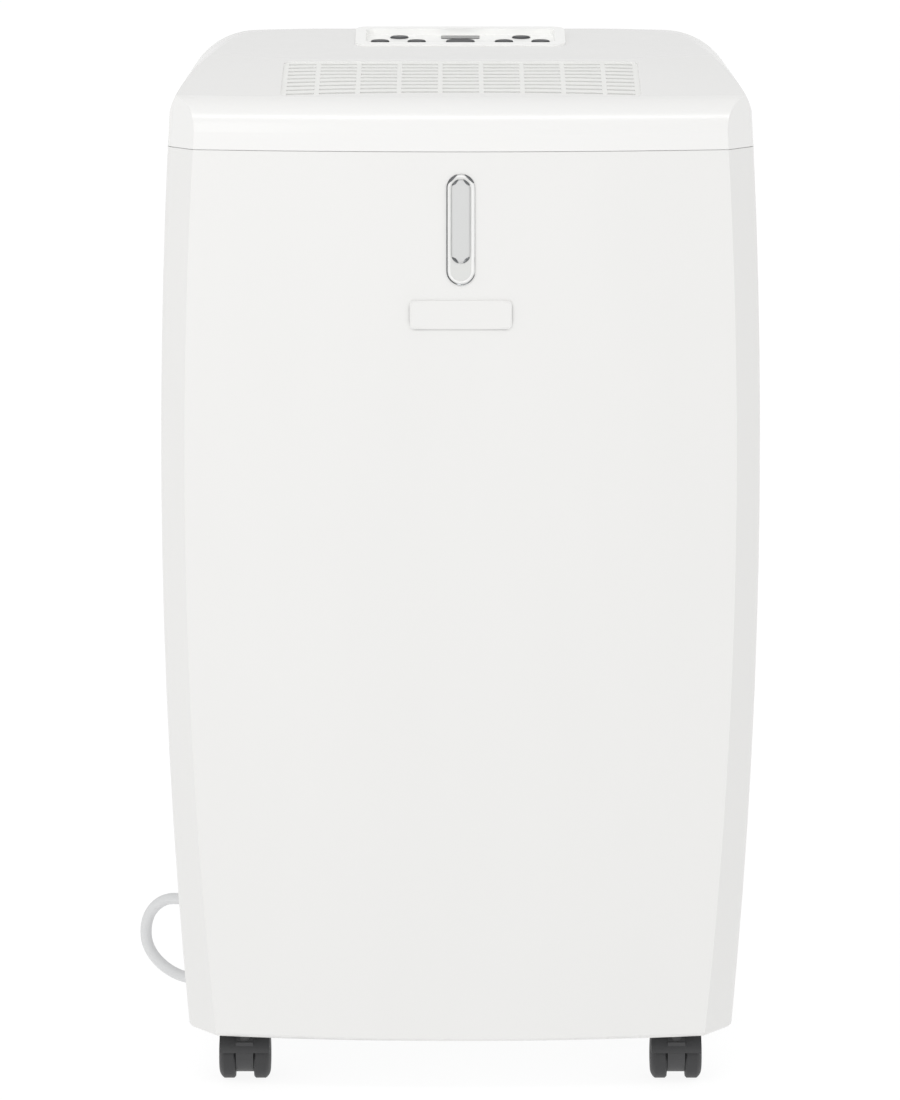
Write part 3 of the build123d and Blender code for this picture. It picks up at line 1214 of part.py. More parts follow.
# ---------------------------------------------------------------- mains lead
BOOT_LENGTH = 28.0
BOOT_DIRECTION = Vector(-0.8, 0.6, 0)
boot_root = Vector(LEAD_X, REAR_Y, LEAD_Z)
boot_tip = boot_root + BOOT_DIRECTION * BOOT_LENGTH
with BuildPart() as strain_relief:
    with BuildSketch(Plane(origin=boot_root, z_dir=BOOT_DIRECTION)):
        Circle(LEAD_HOLE_RADIUS)
    with BuildSketch(Plane(origin=boot_tip, z_dir=BOOT_DIRECTION)):
        Circle(LEAD_RADIUS + 1.0)
    loft()
    add(block(-FAR, FAR, -FAR, REAR_Y, 0, HIGH_Z), mode=Mode.SUBTRACT)
    with BuildSketch(REAR_PLANE.offset(-WALL - 2)):
        with Locations((-LEAD_X, LEAD_Z)):
            Circle(LEAD_HOLE_RADIUS + 2)
    extrude(amount=2)
    with BuildSketch(REAR_PLANE.offset(-WALL)):
        with Locations((-LEAD_X, LEAD_Z)):
            Circle(LEAD_HOLE_RADIUS)
    extrude(amount=WALL)
    with BuildSketch(REAR_PLANE):
        with Locations((-LEAD_X, LEAD_Z)):
            Circle(LEAD_HOLE_RADIUS + 1.5)
    extrude(amount=1.5)
save(strain_relief, "strain_relief")

COIL_LOW = 1.1
TURN_OFFSET = COIL_WIDTH / 4
LOW_TURN_Z = COIL_LOW + COIL_HEIGHT / 6
TOP_TURN_Z = COIL_LOW + COIL_HEIGHT * 5 / 6
OUTER_TURN = COIL_MEAN_RADIUS + TURN_OFFSET
LOOP_ROUTE = [
    tuple(boot_tip),
    (-169.0, 147.0, 55.5),
    (-183.2, 157.2, 53.4),
    (-194.2, 165.8, 40.4),
    (-194.4, 166.0, 19.6),
    (-177.0, 158.4, 4.2),
    (-152.0, 145.0, 3.7),
    (-126.0, 138.4, 3.9),
    (-100.0, COIL_Y - OUTER_TURN - 0.6, 4.5),
    (COIL_X, COIL_Y - OUTER_TURN, LOW_TURN_Z),
]
LEAVE_ANGLE = radians(-40)
leave_point = (COIL_X + OUTER_TURN * cos(LEAVE_ANGLE), COIL_Y + OUTER_TURN * sin(LEAVE_ANGLE), TOP_TURN_Z)
PLUG_X = 8.0
PLUG_Y = 196.0
PLUG_Z = 12.5
PLUG_SLANT = 0.17           # the plug lies at a slight angle to the rear face
PLUG_RUN_IN = 14.0
PLUG_ROUTE = [
    leave_point,
    (-32.0, 166.0, 16.5),
    (-22.0, 184.0, PLUG_Z),
    (PLUG_X - PLUG_RUN_IN, PLUG_Y - PLUG_RUN_IN * PLUG_SLANT, PLUG_Z),
    (PLUG_X, PLUG_Y, PLUG_Z),
]


def bend_radii(route):
    """Bend radius at each inner point: as large as its two runs allow."""
    points = [Vector(*p) for p in route]
    radii = []
    for before, here, after in zip(points, points[1:], points[2:]):
        turn = (here - before).get_angle(after - here)
        shorter = min((here - before).length, (after - here).length)
        radii.append(0.45 * shorter / tan(radians(turn) / 2))
    return radii


def lead(route):
    """Round flexible lead along a route, as a loose solid."""
    radii = bend_radii(route)
    print("bend radii, mm:", [round(r, 1) for r in radii])
    start = Plane(origin=route[0], z_dir=Vector(*route[1]) - Vector(*route[0]))
    with BuildPart() as run:
        with BuildLine() as path:
            FilletPolyline(*route, radius=radii)
        with BuildSketch(start):
            Circle(LEAD_RADIUS)
        sweep()
    length = sum(edge.length for edge in path.edges())
    print("length, mm:", round(length, 1), "volume / (section x length):",
          round(run.part.volume / (pi * LEAD_RADIUS ** 2 * length), 4))
    return run.part


with BuildPart() as mains_lead:
    add(lead(LOOP_ROUTE))
    add(lead(PLUG_ROUTE))
save(mains_lead, "mains_lead")

with BuildPart() as lead_coil:
    with BuildSketch(Plane(origin=(COIL_X, COIL_Y, COIL_LOW), x_dir=(1, 0, 0), z_dir=(0, -1, 0))):
        with Locations((COIL_MEAN_RADIUS, COIL_HEIGHT / 2)):
            RectangleRounded(COIL_WIDTH, COIL_HEIGHT, LEAD_RADIUS)
    revolve(axis=Axis((COIL_X, COIL_Y, 0), (0, 0, 1)))
save(lead_coil, "lead_coil")

tie_face = Plane(origin=(COIL_X - TIE_WIDTH / 2, COIL_Y, COIL_LOW), x_dir=(0, 1, 0), z_dir=(1, 0, 0))
with BuildPart() as lead_tie:
    with BuildSketch(tie_face):
        with Locations((COIL_MEAN_RADIUS, COIL_HEIGHT / 2)):
            RectangleRounded(COIL_WIDTH + 2 * TIE_THICK, COIL_HEIGHT + 2 * TIE_THICK, LEAD_RADIUS + TIE_THICK)
            RectangleRounded(COIL_WIDTH, COIL_HEIGHT, LEAD_RADIUS, mode=Mode.SUBTRACT)
    extrude(amount=TIE_WIDTH)
save(lead_tie, "lead_tie")

PLUG_LENGTH = 38.0
PLUG_NECK = 12.0
PLUG_WIDTH = 30.0
PLUG_HEIGHT = 22.0
PIN_LENGTH = 17.0
PIN_THICK = 1.6
PIN_WIDTH = 6.3
PIN_PLACES = [(3.0, 7.9, 30), (3.0, -7.9, -30), (-7.0, 0.0, 0)]
plug_start = Plane(origin=(PLUG_X, PLUG_Y, PLUG_Z), x_dir=(0, 0, 1), z_dir=(1, PLUG_SLANT, 0))
with BuildPart() as plug:
    with BuildSketch(plug_start):
        Circle(LEAD_RADIUS + 0.8)
    with BuildSketch(plug_start.offset(PLUG_NECK + 2)):
        Circle(LEAD_RADIUS + 3)
    loft()
    with BuildSketch(plug_start.offset(PLUG_NECK)):
        RectangleRounded(PLUG_HEIGHT, PLUG_WIDTH, 6)
    extrude(amount=PLUG_LENGTH - PLUG_NECK)
    fillet(faces().sort_by(Axis.X)[-1].edges(), 2)
    with BuildSketch(plug_start.offset(PLUG_LENGTH)):
        for pin_x, pin_y, turn in PIN_PLACES:
            with Locations(Location((pin_x, pin_y), turn)):
                Rectangle(PIN_THICK, PIN_WIDTH)
    extrude(amount=PIN_LENGTH)
save(plug, "plug")
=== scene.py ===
import math

import bmesh
import bpy
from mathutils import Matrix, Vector


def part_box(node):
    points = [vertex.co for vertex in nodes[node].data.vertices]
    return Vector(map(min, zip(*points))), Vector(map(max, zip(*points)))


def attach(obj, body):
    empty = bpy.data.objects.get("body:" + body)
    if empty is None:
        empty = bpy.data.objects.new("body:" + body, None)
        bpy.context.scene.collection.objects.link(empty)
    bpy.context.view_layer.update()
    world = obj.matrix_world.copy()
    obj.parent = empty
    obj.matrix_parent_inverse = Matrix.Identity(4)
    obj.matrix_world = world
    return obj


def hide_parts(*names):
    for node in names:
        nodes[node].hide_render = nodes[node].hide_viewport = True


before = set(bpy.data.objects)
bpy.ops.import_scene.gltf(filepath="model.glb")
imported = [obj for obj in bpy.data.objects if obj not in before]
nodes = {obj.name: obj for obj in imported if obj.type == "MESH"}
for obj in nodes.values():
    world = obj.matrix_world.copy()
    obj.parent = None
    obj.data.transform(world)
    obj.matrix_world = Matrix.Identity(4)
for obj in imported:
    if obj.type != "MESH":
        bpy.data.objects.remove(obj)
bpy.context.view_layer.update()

# ---------------------------------------------------------------- camera
CAMERA_DISTANCE = 3.2
CAMERA_PITCH = math.radians(9)
AIM = Vector((-0.006, 0.0, 0.296))
SENSOR_WIDTH = 36
FOCAL_LENGTH = 179.9

camera_data = bpy.data.cameras.new("camera")
camera_data.sensor_width = SENSOR_WIDTH
camera_data.lens = FOCAL_LENGTH
camera = bpy.data.objects.new("camera", camera_data)
camera.location = AIM + CAMERA_DISTANCE * Vector((0, -math.cos(CAMERA_PITCH), math.sin(CAMERA_PITCH)))
camera.rotation_euler = (math.pi / 2 - CAMERA_PITCH, 0, 0)
bpy.context.collection.objects.link(camera)
bpy.context.scene.camera = camera
bpy.context.scene.view_settings.view_transform = "Standard"

up = Vector((0, 0, 1))
outward = Vector((0, 1, 0))
sideways = Vector((1, 0, 0))


# ---------------------------------------------------------------- mesh helpers
def link_mesh(name, mesh, body="casing", smooth_angle=35):
    """A new object from a bmesh, shaded smooth below the angle, riding on a body."""
    data = bpy.data.meshes.new(name)
    bmesh.ops.recalc_face_normals(mesh, faces=mesh.faces)
    mesh.to_mesh(data)
    mesh.free()
    piece = bpy.data.objects.new(name, data)
    bpy.context.collection.objects.link(piece)
    for polygon in data.polygons:
        polygon.use_smooth = True
    data.set_sharp_from_angle(angle=math.radians(smooth_angle))
    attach(piece, body)
    return piece


def bridge_rings(mesh, rings, closed=False, cap_start=False, cap_end=False):
    """Quads between rings of equal length; each ring is a closed loop of points."""
    loops = [[mesh.verts.new(point) for point in ring] for ring in rings]
    pairs = list(zip(loops, loops[1:]))
    if closed:
        pairs.append((loops[-1], loops[0]))
    for low, high in pairs:
        count = len(low)
        for i in range(count):
            j = (i + 1) % count
            mesh.faces.new((low[i], low[j], high[j], high[i]))
    if cap_start:
        mesh.faces.new(loops[0])
    if cap_end:
        mesh.faces.new(loops[-1])


def circle_ring(centre, x_dir, y_dir, radius, count):
    """Points of a circle in the plane of two unit directions."""
    ring = []
    for i in range(count):
        angle = 2 * math.pi * i / count
        ring.append(centre + radius * (math.cos(angle) * x_dir + math.sin(angle) * y_dir))
    return ring


def rounded_ring(centre, x_dir, y_dir, half_x, half_y, corner, steps=7):
    """Points of a rounded rectangle; with corner equal to the smaller half it is a capsule."""
    ring = []
    for sign_x, sign_y, start in ((1, 1, 0), (-1, 1, 90), (-1, -1, 180), (1, -1, 270)):
        middle = centre + sign_x * (half_x - corner) * x_dir + sign_y * (half_y - corner) * y_dir
        for i in range(steps + 1):
            angle = math.radians(start + 90 * i / steps)
            ring.append(middle + corner * (math.cos(angle) * x_dir + math.sin(angle) * y_dir))
    return ring


# ---------------------------------------------------------------- mains lead
LEAD_DIAMETER = 0.007
COIL_CENTRE = Vector((-0.076, 0.180, 0.0))
OUTER_TURN = 0.0421
INNER_TURN = 0.0349
LOW_TURN = 0.0047
MIDDLE_TURN = 0.0119
TOP_TURN = 0.0191
TURNS = 6
ENTRY_ANGLE = -90
LEAVE_ANGLE = -40
BOOT_ROOT = Vector((-0.133, 0.120, 0.0555))
BOOT_DIRECTION = Vector((-0.8, 0.6, 0.0))
BOOT_LENGTH = 0.028

boot_tip = BOOT_ROOT + BOOT_LENGTH * BOOT_DIRECTION
loop_route = [
    tuple(boot_tip),
    (-0.1690, 0.1470, 0.0555),
    (-0.1832, 0.1572, 0.0534),
    (-0.1942, 0.1658, 0.0404),
    (-0.1944, 0.1660, 0.0196),
    (-0.1770, 0.1584, 0.0042),
    (-0.1520, 0.1450, 0.0037),
    (-0.1260, 0.1384, 0.0039),
    (-0.1000, 0.1373, 0.0045),
]
plug_route = [
    (-0.0320, 0.1660, 0.0165),
    (-0.0220, 0.1840, 0.0125),
    (-0.0060, 0.19362, 0.0125),
    (0.0080, 0.1960, 0.0125),
]

TURN_CELLS = [
    (OUTER_TURN, LOW_TURN),
    (INNER_TURN, LOW_TURN),
    (INNER_TURN, MIDDLE_TURN),
    (OUTER_TURN, MIDDLE_TURN),
    (INNER_TURN, TOP_TURN),
    (OUTER_TURN, TOP_TURN),
]
FIRST_SHIFT = 195          # the first change of turn starts here, in degrees
SHIFT_STEP = 316           # from one change of turn to the next
SHIFT_LENGTH = 44
POINT_STEP = 22.0


def turn_at(angle):
    """Radius and height of the winding at an angle from the first point on."""
    cell = 0
    blend = 0.0
    for i in range(len(TURN_CELLS) - 1):
        begin = FIRST_SHIFT + i * SHIFT_STEP
        if angle >= begin + SHIFT_LENGTH:
            cell = i + 1
        elif angle > begin:
            blend = (angle - begin) / SHIFT_LENGTH
    blend = blend * blend * (3 - 2 * blend)
    if blend == 0.0:
        return TURN_CELLS[cell]
    low, high = TURN_CELLS[cell], TURN_CELLS[cell + 1]
    return low[0] + blend * (high[0] - low[0]), low[1] + blend * (high[1] - low[1])


def coil_points():
    """Control points of the wound part, from where the lead joins it to where it leaves."""
    points = []
    last = TURNS * 360 + LEAVE_ANGLE
    angle = ENTRY_ANGLE
    while angle <= last:
        radius, height = turn_at(angle)
        wander = 0.00022 * math.sin(math.radians(angle * 1.7))
        wander += 0.00016 * math.sin(math.radians(angle * 0.61 + 40))
        reach = (radius + wander) / math.cos(math.radians(POINT_STEP / 2))
        heading = math.radians(angle)
        points.append((
            COIL_CENTRE.x + reach * math.cos(heading),
            COIL_CENTRE.y + reach * math.sin(heading),
            height,
        ))
        angle += POINT_STEP
    return points


lead_curve = bpy.data.curves.new("lead", "CURVE")
lead_curve.dimensions = "3D"
lead_curve.bevel_depth = 1.0          # times the points' own radius
lead_curve.bevel_resolution = 5
lead_curve.resolution_u = 8
lead_curve.use_fill_caps = True
lead_points = loop_route + coil_points() + plug_route
lead_spline = lead_curve.splines.new("NURBS")
lead_spline.points.add(len(lead_points) - 1)
for point, place in zip(lead_spline.points, lead_points):
    point.co = (*place, 1)
    point.radius = LEAD_DIAMETER / 2
lead_spline.order_u = 3
lead_spline.use_endpoint_u = True
lead = bpy.data.objects.new("lead", lead_curve)
bpy.context.collection.objects.link(lead)
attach(lead, "casing")
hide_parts("mains_lead", "lead_coil")

# ---------------------------------------------------------------- strain relief boot
BOOT_STEPS = 60
BOOT_RADIUS = 0.0062
BOOT_TAPER = 0.0017
BOOT_END_ROUND = 0.0004
RIB_COUNT = 6
RIB_FROM = 0.16            # the ribbed stretch, as shares of the boot's length
RIB_TO = 0.94
RIB_DEPTH = 0.0007
FLANGE_PROFILE = [         # radius, and distance out from the rear face
    (0.0080, -0.0001),
    (0.0080, 0.0010),
    (0.0076, 0.0014),
    (0.0068, 0.0015),
    (0.0050, 0.0015),
]
across = BOOT_DIRECTION.cross(up).normalized()

mesh = bmesh.new()
boot_rings = []
for i in range(BOOT_STEPS + 1):
    t = i / BOOT_STEPS
    radius = BOOT_RADIUS - BOOT_TAPER * t
    if RIB_FROM < t < RIB_TO:
        phase = (t - RIB_FROM) / (RIB_TO - RIB_FROM) * RIB_COUNT
        wave = abs(math.sin(math.pi * phase))
        radius += RIB_DEPTH * min(1.0, 1.6 * wave) - RIB_DEPTH
    if i == BOOT_STEPS:
        radius -= BOOT_END_ROUND
    centre = BOOT_ROOT + t * BOOT_LENGTH * BOOT_DIRECTION
    boot_rings.append(circle_ring(centre, across, up, radius, 40))
bridge_rings(mesh, boot_rings, cap_start=True, cap_end=True)
flange_rings = []
for radius, offset in FLANGE_PROFILE:
    flange_rings.append(circle_ring(BOOT_ROOT + offset * outward, sideways, up, radius, 48))
bridge_rings(mesh, flange_rings, cap_start=True, cap_end=True)
boot = link_mesh("lead_boot", mesh)
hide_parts("strain_relief")

# ---------------------------------------------------------------- tie round the coil
TIE_HALF_WIDTH = 0.004
TIE_HALF_DEPTH = 0.0073
TIE_HALF_HEIGHT = 0.0108
TIE_CORNER = 0.0038
TAIL_LENGTH = 0.010
TIE_PROFILE = [            # how far the tie swells out, and where across its width
    (0.0000, -TIE_HALF_WIDTH),
    (0.0009, -TIE_HALF_WIDTH + 0.0004),
    (0.0011, 0.0),
    (0.0009, TIE_HALF_WIDTH - 0.0004),
    (0.0000, TIE_HALF_WIDTH),
]
tie_middle = COIL_CENTRE + Vector((0, (OUTER_TURN + INNER_TURN) / 2, MIDDLE_TURN))


def tie_ring(swell, shift):
    """One loop of the tie round the winding, swollen outwards and shifted along X."""
    return rounded_ring(
        tie_middle + shift * sideways,
        outward,
        up,
        TIE_HALF_DEPTH + swell,
        TIE_HALF_HEIGHT + swell,
        TIE_CORNER + swell,
    )


mesh = bmesh.new()
bridge_rings(mesh, [tie_ring(swell, shift) for swell, shift in TIE_PROFILE])
bridge_rings(mesh, [tie_ring(0.0, -TIE_HALF_WIDTH), tie_ring(0.0, TIE_HALF_WIDTH)])
for tail, lean in ((-1, 0.35), (1, -0.25)):
    root = tie_middle + Vector((tail * 0.0012, 0.0, 0.0116))
    tip = root + Vector((tail * TAIL_LENGTH, lean * TAIL_LENGTH, 0.0002))
    flat = (tip - root).cross(up).normalized()
    tail_rings = []
    for t, half in ((0.0, 0.0016), (0.5, 0.0016), (0.9, 0.0015), (1.0, 0.0008)):
        middle = root.lerp(tip, t) + Vector((0, 0, 0.0008 * math.sin(math.pi * t)))
        tail_rings.append(rounded_ring(middle, flat, up, half, 0.0004, 0.0003, 2))
    bridge_rings(mesh, tail_rings, cap_start=True, cap_end=True)
tie = link_mesh("coil_tie", mesh)
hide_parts("lead_tie")

# ---------------------------------------------------------------- plug
PLUG_START = Vector((0.0080, 0.1960, 0.0125))
PLUG_HALF_HEIGHT = 0.011
PLUG_HALF_WIDTH = 0.015
PLUG_CORNER = 0.0058
NECK_PROFILE = [           # distance along the plug, and radius of its ribbed neck
    (-0.0005, 0.0040),
    (0.0, 0.0043),
    (0.0022, 0.0046),
    (0.0030, 0.0040),
    (0.0042, 0.0040),
    (0.0050, 0.0052),
    (0.0066, 0.0052),
    (0.0074, 0.0045),
    (0.0086, 0.0045),
    (0.0094, 0.0060),
    (0.0115, 0.0063),
]
BODY_PROFILE = [           # distance along the plug, and how far its waisted body draws in
    (0.0110, 0.0032),
    (0.0114, 0.0018),
    (0.0124, 0.0007),
    (0.0140, 0.0001),
    (0.0180, 0.0004),
    (0.0215, 0.0013),
    (0.0250, 0.0016),
    (0.0285, 0.0013),
    (0.0320, 0.0004),
    (0.0350, 0.0000),
    (0.0366, 0.0002),
    (0.0376, 0.0009),
    (0.0380, 0.0019),
]
GRIP_BARS = 5
GRIP_START = 0.0195
GRIP_PITCH = 0.0027
GRIP_PROFILE = [(-0.0012, 0.0007), (0.0006, 0.0006), (0.0010, 0.0003)]
BLADES = [(0.003, 0.0079, 30), (0.003, -0.0079, -30), (-0.007, 0.0, 0)]
BLADE_HALF_THICK = 0.0008
BLADE_HALF_WIDTH = 0.00315
BLADE_PROFILE = [          # distance along the plug, and how much slimmer the blade is
    (0.0375, 0.0),
    (0.0385, 0.0),
    (0.0535, 0.0),
    (0.0546, 0.0003),
    (0.0550, 0.0006),
]
plug_axis = Vector((1, 0.17, 0)).normalized()
plug_side = plug_axis.cross(up).normalized()

mesh = bmesh.new()
neck_rings = []
for along, radius in NECK_PROFILE:
    neck_rings.append(circle_ring(PLUG_START + along * plug_axis, up, plug_side, radius, 40))
bridge_rings(mesh, neck_rings, cap_start=True, cap_end=True)
body_rings = []
for along, shrink in BODY_PROFILE:
    body_rings.append(rounded_ring(
        PLUG_START + along * plug_axis,
        up,
        plug_side,
        PLUG_HALF_HEIGHT - shrink * 0.6,
        PLUG_HALF_WIDTH - shrink,
        PLUG_CORNER - shrink * 0.5,
        8,
    ))
bridge_rings(mesh, body_rings, cap_start=True, cap_end=True)
for side in (-1, 1):
    for row in range(GRIP_BARS):
        middle = PLUG_START + (GRIP_START + GRIP_PITCH * row) * plug_axis + side * 0.0137 * plug_side
        bar_rings = []
        for out, half in GRIP_PROFILE:
            centre = middle + side * out * plug_side
            bar_rings.append(rounded_ring(centre, plug_axis, up, half, 0.0055, half * 0.9, 4))
        bridge_rings(mesh, bar_rings, cap_start=True, cap_end=True)
plug_body = link_mesh("plug_body", mesh)
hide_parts("plug")

mesh = bmesh.new()
for blade_up, blade_side, turn in BLADES:
    root = PLUG_START + blade_up * up + blade_side * plug_side
    lean = math.radians(turn)
    thin = math.cos(lean) * up + math.sin(lean) * plug_side
    wide = -math.sin(lean) * up + math.cos(lean) * plug_side
    blade_rings = []
    for along, slim in BLADE_PROFILE:
        blade_rings.append(rounded_ring(
            root + along * plug_axis,
            thin,
            wide,
            BLADE_HALF_THICK - slim * 0.5,
            BLADE_HALF_WIDTH - slim,
            0.0002,
            2,
        ))
    bridge_rings(mesh, blade_rings, cap_start=True, cap_end=True)
plug_blades = link_mesh("plug_blades", mesh)

# ---------------------------------------------------------------- indicator
def front_outline(node):
    """Centre, half size and foremost Y of a CAD node, as the front view sees it."""
    low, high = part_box(node)
    centre = Vector(((low[0] + high[0]) / 2, 0, (low[2] + high[2]) / 2))
    half = Vector(((high[0] - low[0]) / 2, 0, (high[2] - low[2]) / 2))
    return centre, half, low[1]


bezel_centre, bezel_half, bezel_front = front_outline("indicator_bezel")
lens_centre, lens_half = front_outline("indicator_lens")[:2]
# The rims' corner crescents are painted dark reflections, laid on in dark chrome.
UPPER_CORNERS = (47, 133)              # headings of the rims' dark crescents, in degrees
ALL_CORNERS = (47, 133, 227, 313)
CRESCENT_REACH = 27


def capsule_rings(centre, half, profile):
    """Rings of a capsule outline; each profile entry is an inset and a depth behind the rim."""
    rings = []
    for inset, depth in profile:
        width = half.x - inset
        middle = Vector((centre.x, bezel_front + depth, centre.z))
        rings.append(rounded_ring(middle, sideways, up, width, half.z - inset, width, 12))
    return rings


def facing_at(point, centre, half):
    """The way that a capsule's edge faces at a point on it."""
    arc_low = centre.z - half.z + half.x
    arc_high = centre.z + half.z - half.x
    middle = Vector((centre.x, point.y, min(max(point.z, arc_low), arc_high)))
    return (point - middle).normalized()


def crescent_ring(centre, half, depth, width_at):
    """A capsule outline drawn in by a width that depends on which way the edge faces."""
    ring = []
    middle = Vector((centre.x, bezel_front + depth, centre.z))
    for point in rounded_ring(middle, sideways, up, half.x, half.z, half.x, 12):
        facing = facing_at(point, centre, half)
        ring.append(point - width_at(facing) * facing)
    return ring


def corner_swell(facing, corners):
    """1 where the edge faces one of the corner directions, in degrees, falling to 0 beside it."""
    heading = math.degrees(math.atan2(facing.z, facing.x))
    swell = 0.0
    for corner in corners:
        away = abs((heading - corner + 180) % 360 - 180)
        swell += max(0.0, 1 - (away / CRESCENT_REACH) ** 2)
    return swell


def rim_width(facing):
    """Width of the outer rim: a thin line, wider at the left and below, with two crescents above. The
    crescents carry a painted dark reflection and the wider left and lower line a painted shade.
    """
    plain = 0.00028 + 0.00030 * max(0, -facing.x) + 0.00028 * max(0, -facing.z)
    return plain + 0.0011 * corner_swell(facing, UPPER_CORNERS)


def lens_rim_width(facing):
    """Width of the rim round the lens: a thin line with four crescents, which carry a painted dark
    reflection.
    """
    plain = 0.00022 + 0.00025 * max(0, -facing.z)
    return plain + 0.0012 * corner_swell(facing, ALL_CORNERS)


def rim_rings(centre, half, back, outset, width_at, depths):
    """Rings of a plated rim: up its outer side, over its crown and down its inner side."""
    side, crown, lip, foot = depths
    return [
        crescent_ring(centre, half, back, lambda facing: -outset),
        crescent_ring(centre, half, side, lambda facing: -outset),
        crescent_ring(centre, half, crown, lambda facing: 0.4 * width_at(facing)),
        crescent_ring(centre, half, lip, width_at),
        crescent_ring(centre, half, foot, width_at),
    ]


mesh = bmesh.new()
depths = (0.0005, 0.0001, 0.0003, 0.0011)
bridge_rings(mesh, rim_rings(bezel_centre, bezel_half, 0.0046, 0.0, rim_width, depths))
bezel_rim = link_mesh("indicator_rim", mesh, smooth_angle=20)
mesh = bmesh.new()
bridge_rings(mesh, capsule_rings(bezel_centre, bezel_half, [
    (0.0002, 0.0030),
    (0.0002, 0.0009),
    (0.0009, 0.0006),
    (0.0016, 0.0005),
    (0.0022, 0.0009),
    (0.0022, 0.0020),
]))
link_mesh("indicator_frame", mesh)
mesh = bmesh.new()
bridge_rings(mesh, capsule_rings(bezel_centre, bezel_half, [
    (0.0021, 0.0030),
    (0.0021, 0.0009),
    (0.0024, 0.0008),
    (0.0032, 0.0008),
]), cap_end=True)
link_mesh("indicator_insert", mesh)
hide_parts("indicator_bezel")

mesh = bmesh.new()
depths = (0.0005, 0.0002, 0.0004, 0.0012)
bridge_rings(mesh, rim_rings(lens_centre, lens_half, 0.0012, 0.0001, lens_rim_width, depths))
lens_rim = link_mesh("indicator_lens_rim", mesh, smooth_angle=20)
mesh = bmesh.new()
bridge_rings(mesh, capsule_rings(lens_centre, lens_half, [
    (0.0001, 0.0060),
    (0.0001, 0.0009),
    (0.0004, 0.0006),
    (0.0012, 0.00045),
    (0.0024, 0.00035),
    (0.0040, 0.0003),
]), cap_end=True)
lens_glass = link_mesh("indicator_glass", mesh)
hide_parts("indicator_lens")

# ---------------------------------------------------------------- badge: blank plate with a raised border
badge_centre, badge_half, badge_front = front_outline("badge_plate")
BOW_RADIUS = 0.758
BADGE_CORNER = 0.0030
BORDER_PROFILE = [         # inset from the plate's edge, and how proud the border stands
    (0.0000, -0.0008),
    (0.0000, 0.0000),
    (0.0002, 0.00025),
    (0.0006, 0.00025),
    (0.0009, -0.0001),
]


def on_front(point, proud):
    """The point moved onto the bowed front, standing proud by that much."""
    bow = BOW_RADIUS - math.sqrt(BOW_RADIUS ** 2 - point.x ** 2)
    return Vector((point.x, badge_front + bow - proud, point.z))


mesh = bmesh.new()
border_rings = []
for inset, proud in BORDER_PROFILE:
    half_x, half_z = badge_half.x - inset, badge_half.z - inset
    ring = rounded_ring(badge_centre, sideways, up, half_x, half_z, BADGE_CORNER - inset, 8)
    border_rings.append([on_front(point, proud) for point in ring])
bridge_rings(mesh, border_rings)
link_mesh("badge_border", mesh)


# ---------------------------------------------------------------- materials
def new_material(name, color, roughness, metallic=0.0):
    """A node material with its Principled shader, whose plain values sit on the sockets."""
    material = bpy.data.materials.new(name)
    material.use_nodes = True
    tree = material.node_tree
    shader = tree.nodes["Principled BSDF"]
    shader.inputs["Base Color"].default_value = (*color, 1)
    shader.inputs["Roughness"].default_value = roughness
    shader.inputs["Metallic"].default_value = metallic
    return material, tree, shader


def object_coords(tree, scale=(1, 1, 1)):
    """Object coordinates in metres, stretched by a mapping."""
    coords = tree.nodes.new("ShaderNodeTexCoord")
    mapping = tree.nodes.new("ShaderNodeMapping")
    mapping.inputs["Scale"].default_value = scale
    tree.links.new(coords.outputs["Object"], mapping.inputs["Vector"])
    return mapping.outputs["Vector"]


def noise(tree, vector, scale, detail=3.0, rough=0.55):
    """Fractal noise value between 0 and 1."""
    node = tree.nodes.new("ShaderNodeTexNoise")
    node.inputs["Scale"].default_value = scale
    node.inputs["Detail"].default_value = detail
    node.inputs["Roughness"].default_value = rough
    tree.links.new(vector, node.inputs["Vector"])
    return node.outputs["Fac"]


def ramp(tree, value, stops):
    """Colour ramp over (position, colour) stops."""
    node = tree.nodes.new("ShaderNodeValToRGB")
    elements = node.color_ramp.elements
    while len(elements) < len(stops):
        elements.new(0.5)
    for element, (position, color) in zip(elements, stops):
        element.position = position
        element.color = (*color, 1)
    tree.links.new(value, node.inputs["Fac"])
    return node.outputs["Color"]


def spread(tree, value, low, high, start=0.3, stop=0.7):
    """Maps a value to a range, such as a roughness."""
    node = tree.nodes.new("ShaderNodeMapRange")
    node.inputs["From Min"].default_value = start
    node.inputs["From Max"].default_value = stop
    node.inputs["To Min"].default_value = low
    node.inputs["To Max"].default_value = high
    tree.links.new(value, node.inputs["Value"])
    return node.outputs["Result"]


def bump(tree, shader, height, distance, strength=1.0, previous=None):
    """A bump of real depth in metres, chained on an earlier one."""
    node = tree.nodes.new("ShaderNodeBump")
    node.inputs["Distance"].default_value = distance
    node.inputs["Strength"].default_value = strength
    tree.links.new(height, node.inputs["Height"])
    if previous is not None:
        tree.links.new(previous, node.inputs["Normal"])
    tree.links.new(node.outputs["Normal"], shader.inputs["Normal"])
    return node.outputs["Normal"]


def shade(color, factor):
    """The colour, darkened by a factor."""
    return tuple(channel * factor for channel in color)


def moulded(name, color, roughness, grain_scale, grain_depth, tone=0.03, wear=0.05, flow=(1, 1, 0.3)):
    """Moulded plastic: cloudy tone, uneven gloss, a fine grain and a soft ripple."""
    material, tree, shader = new_material(name, color, roughness)
    vector = object_coords(tree)
    cloud = noise(tree, object_coords(tree, flow), 9.0, 4.0)
    mottle = ramp(tree, cloud, ((0.3, shade(color, 1 - tone)), (0.7, color)))
    tree.links.new(mottle, shader.inputs["Base Color"])
    patches = noise(tree, vector, 22.0, 5.0, 0.65)
    tree.links.new(spread(tree, patches, roughness - wear, roughness + wear), shader.inputs["Roughness"])
    ripple = bump(tree, shader, noise(tree, vector, 60.0, 2.0), 0.00005, 0.5)
    bump(tree, shader, noise(tree, vector, grain_scale, 2.0, 0.6), grain_depth, 0.6, ripple)
    return material


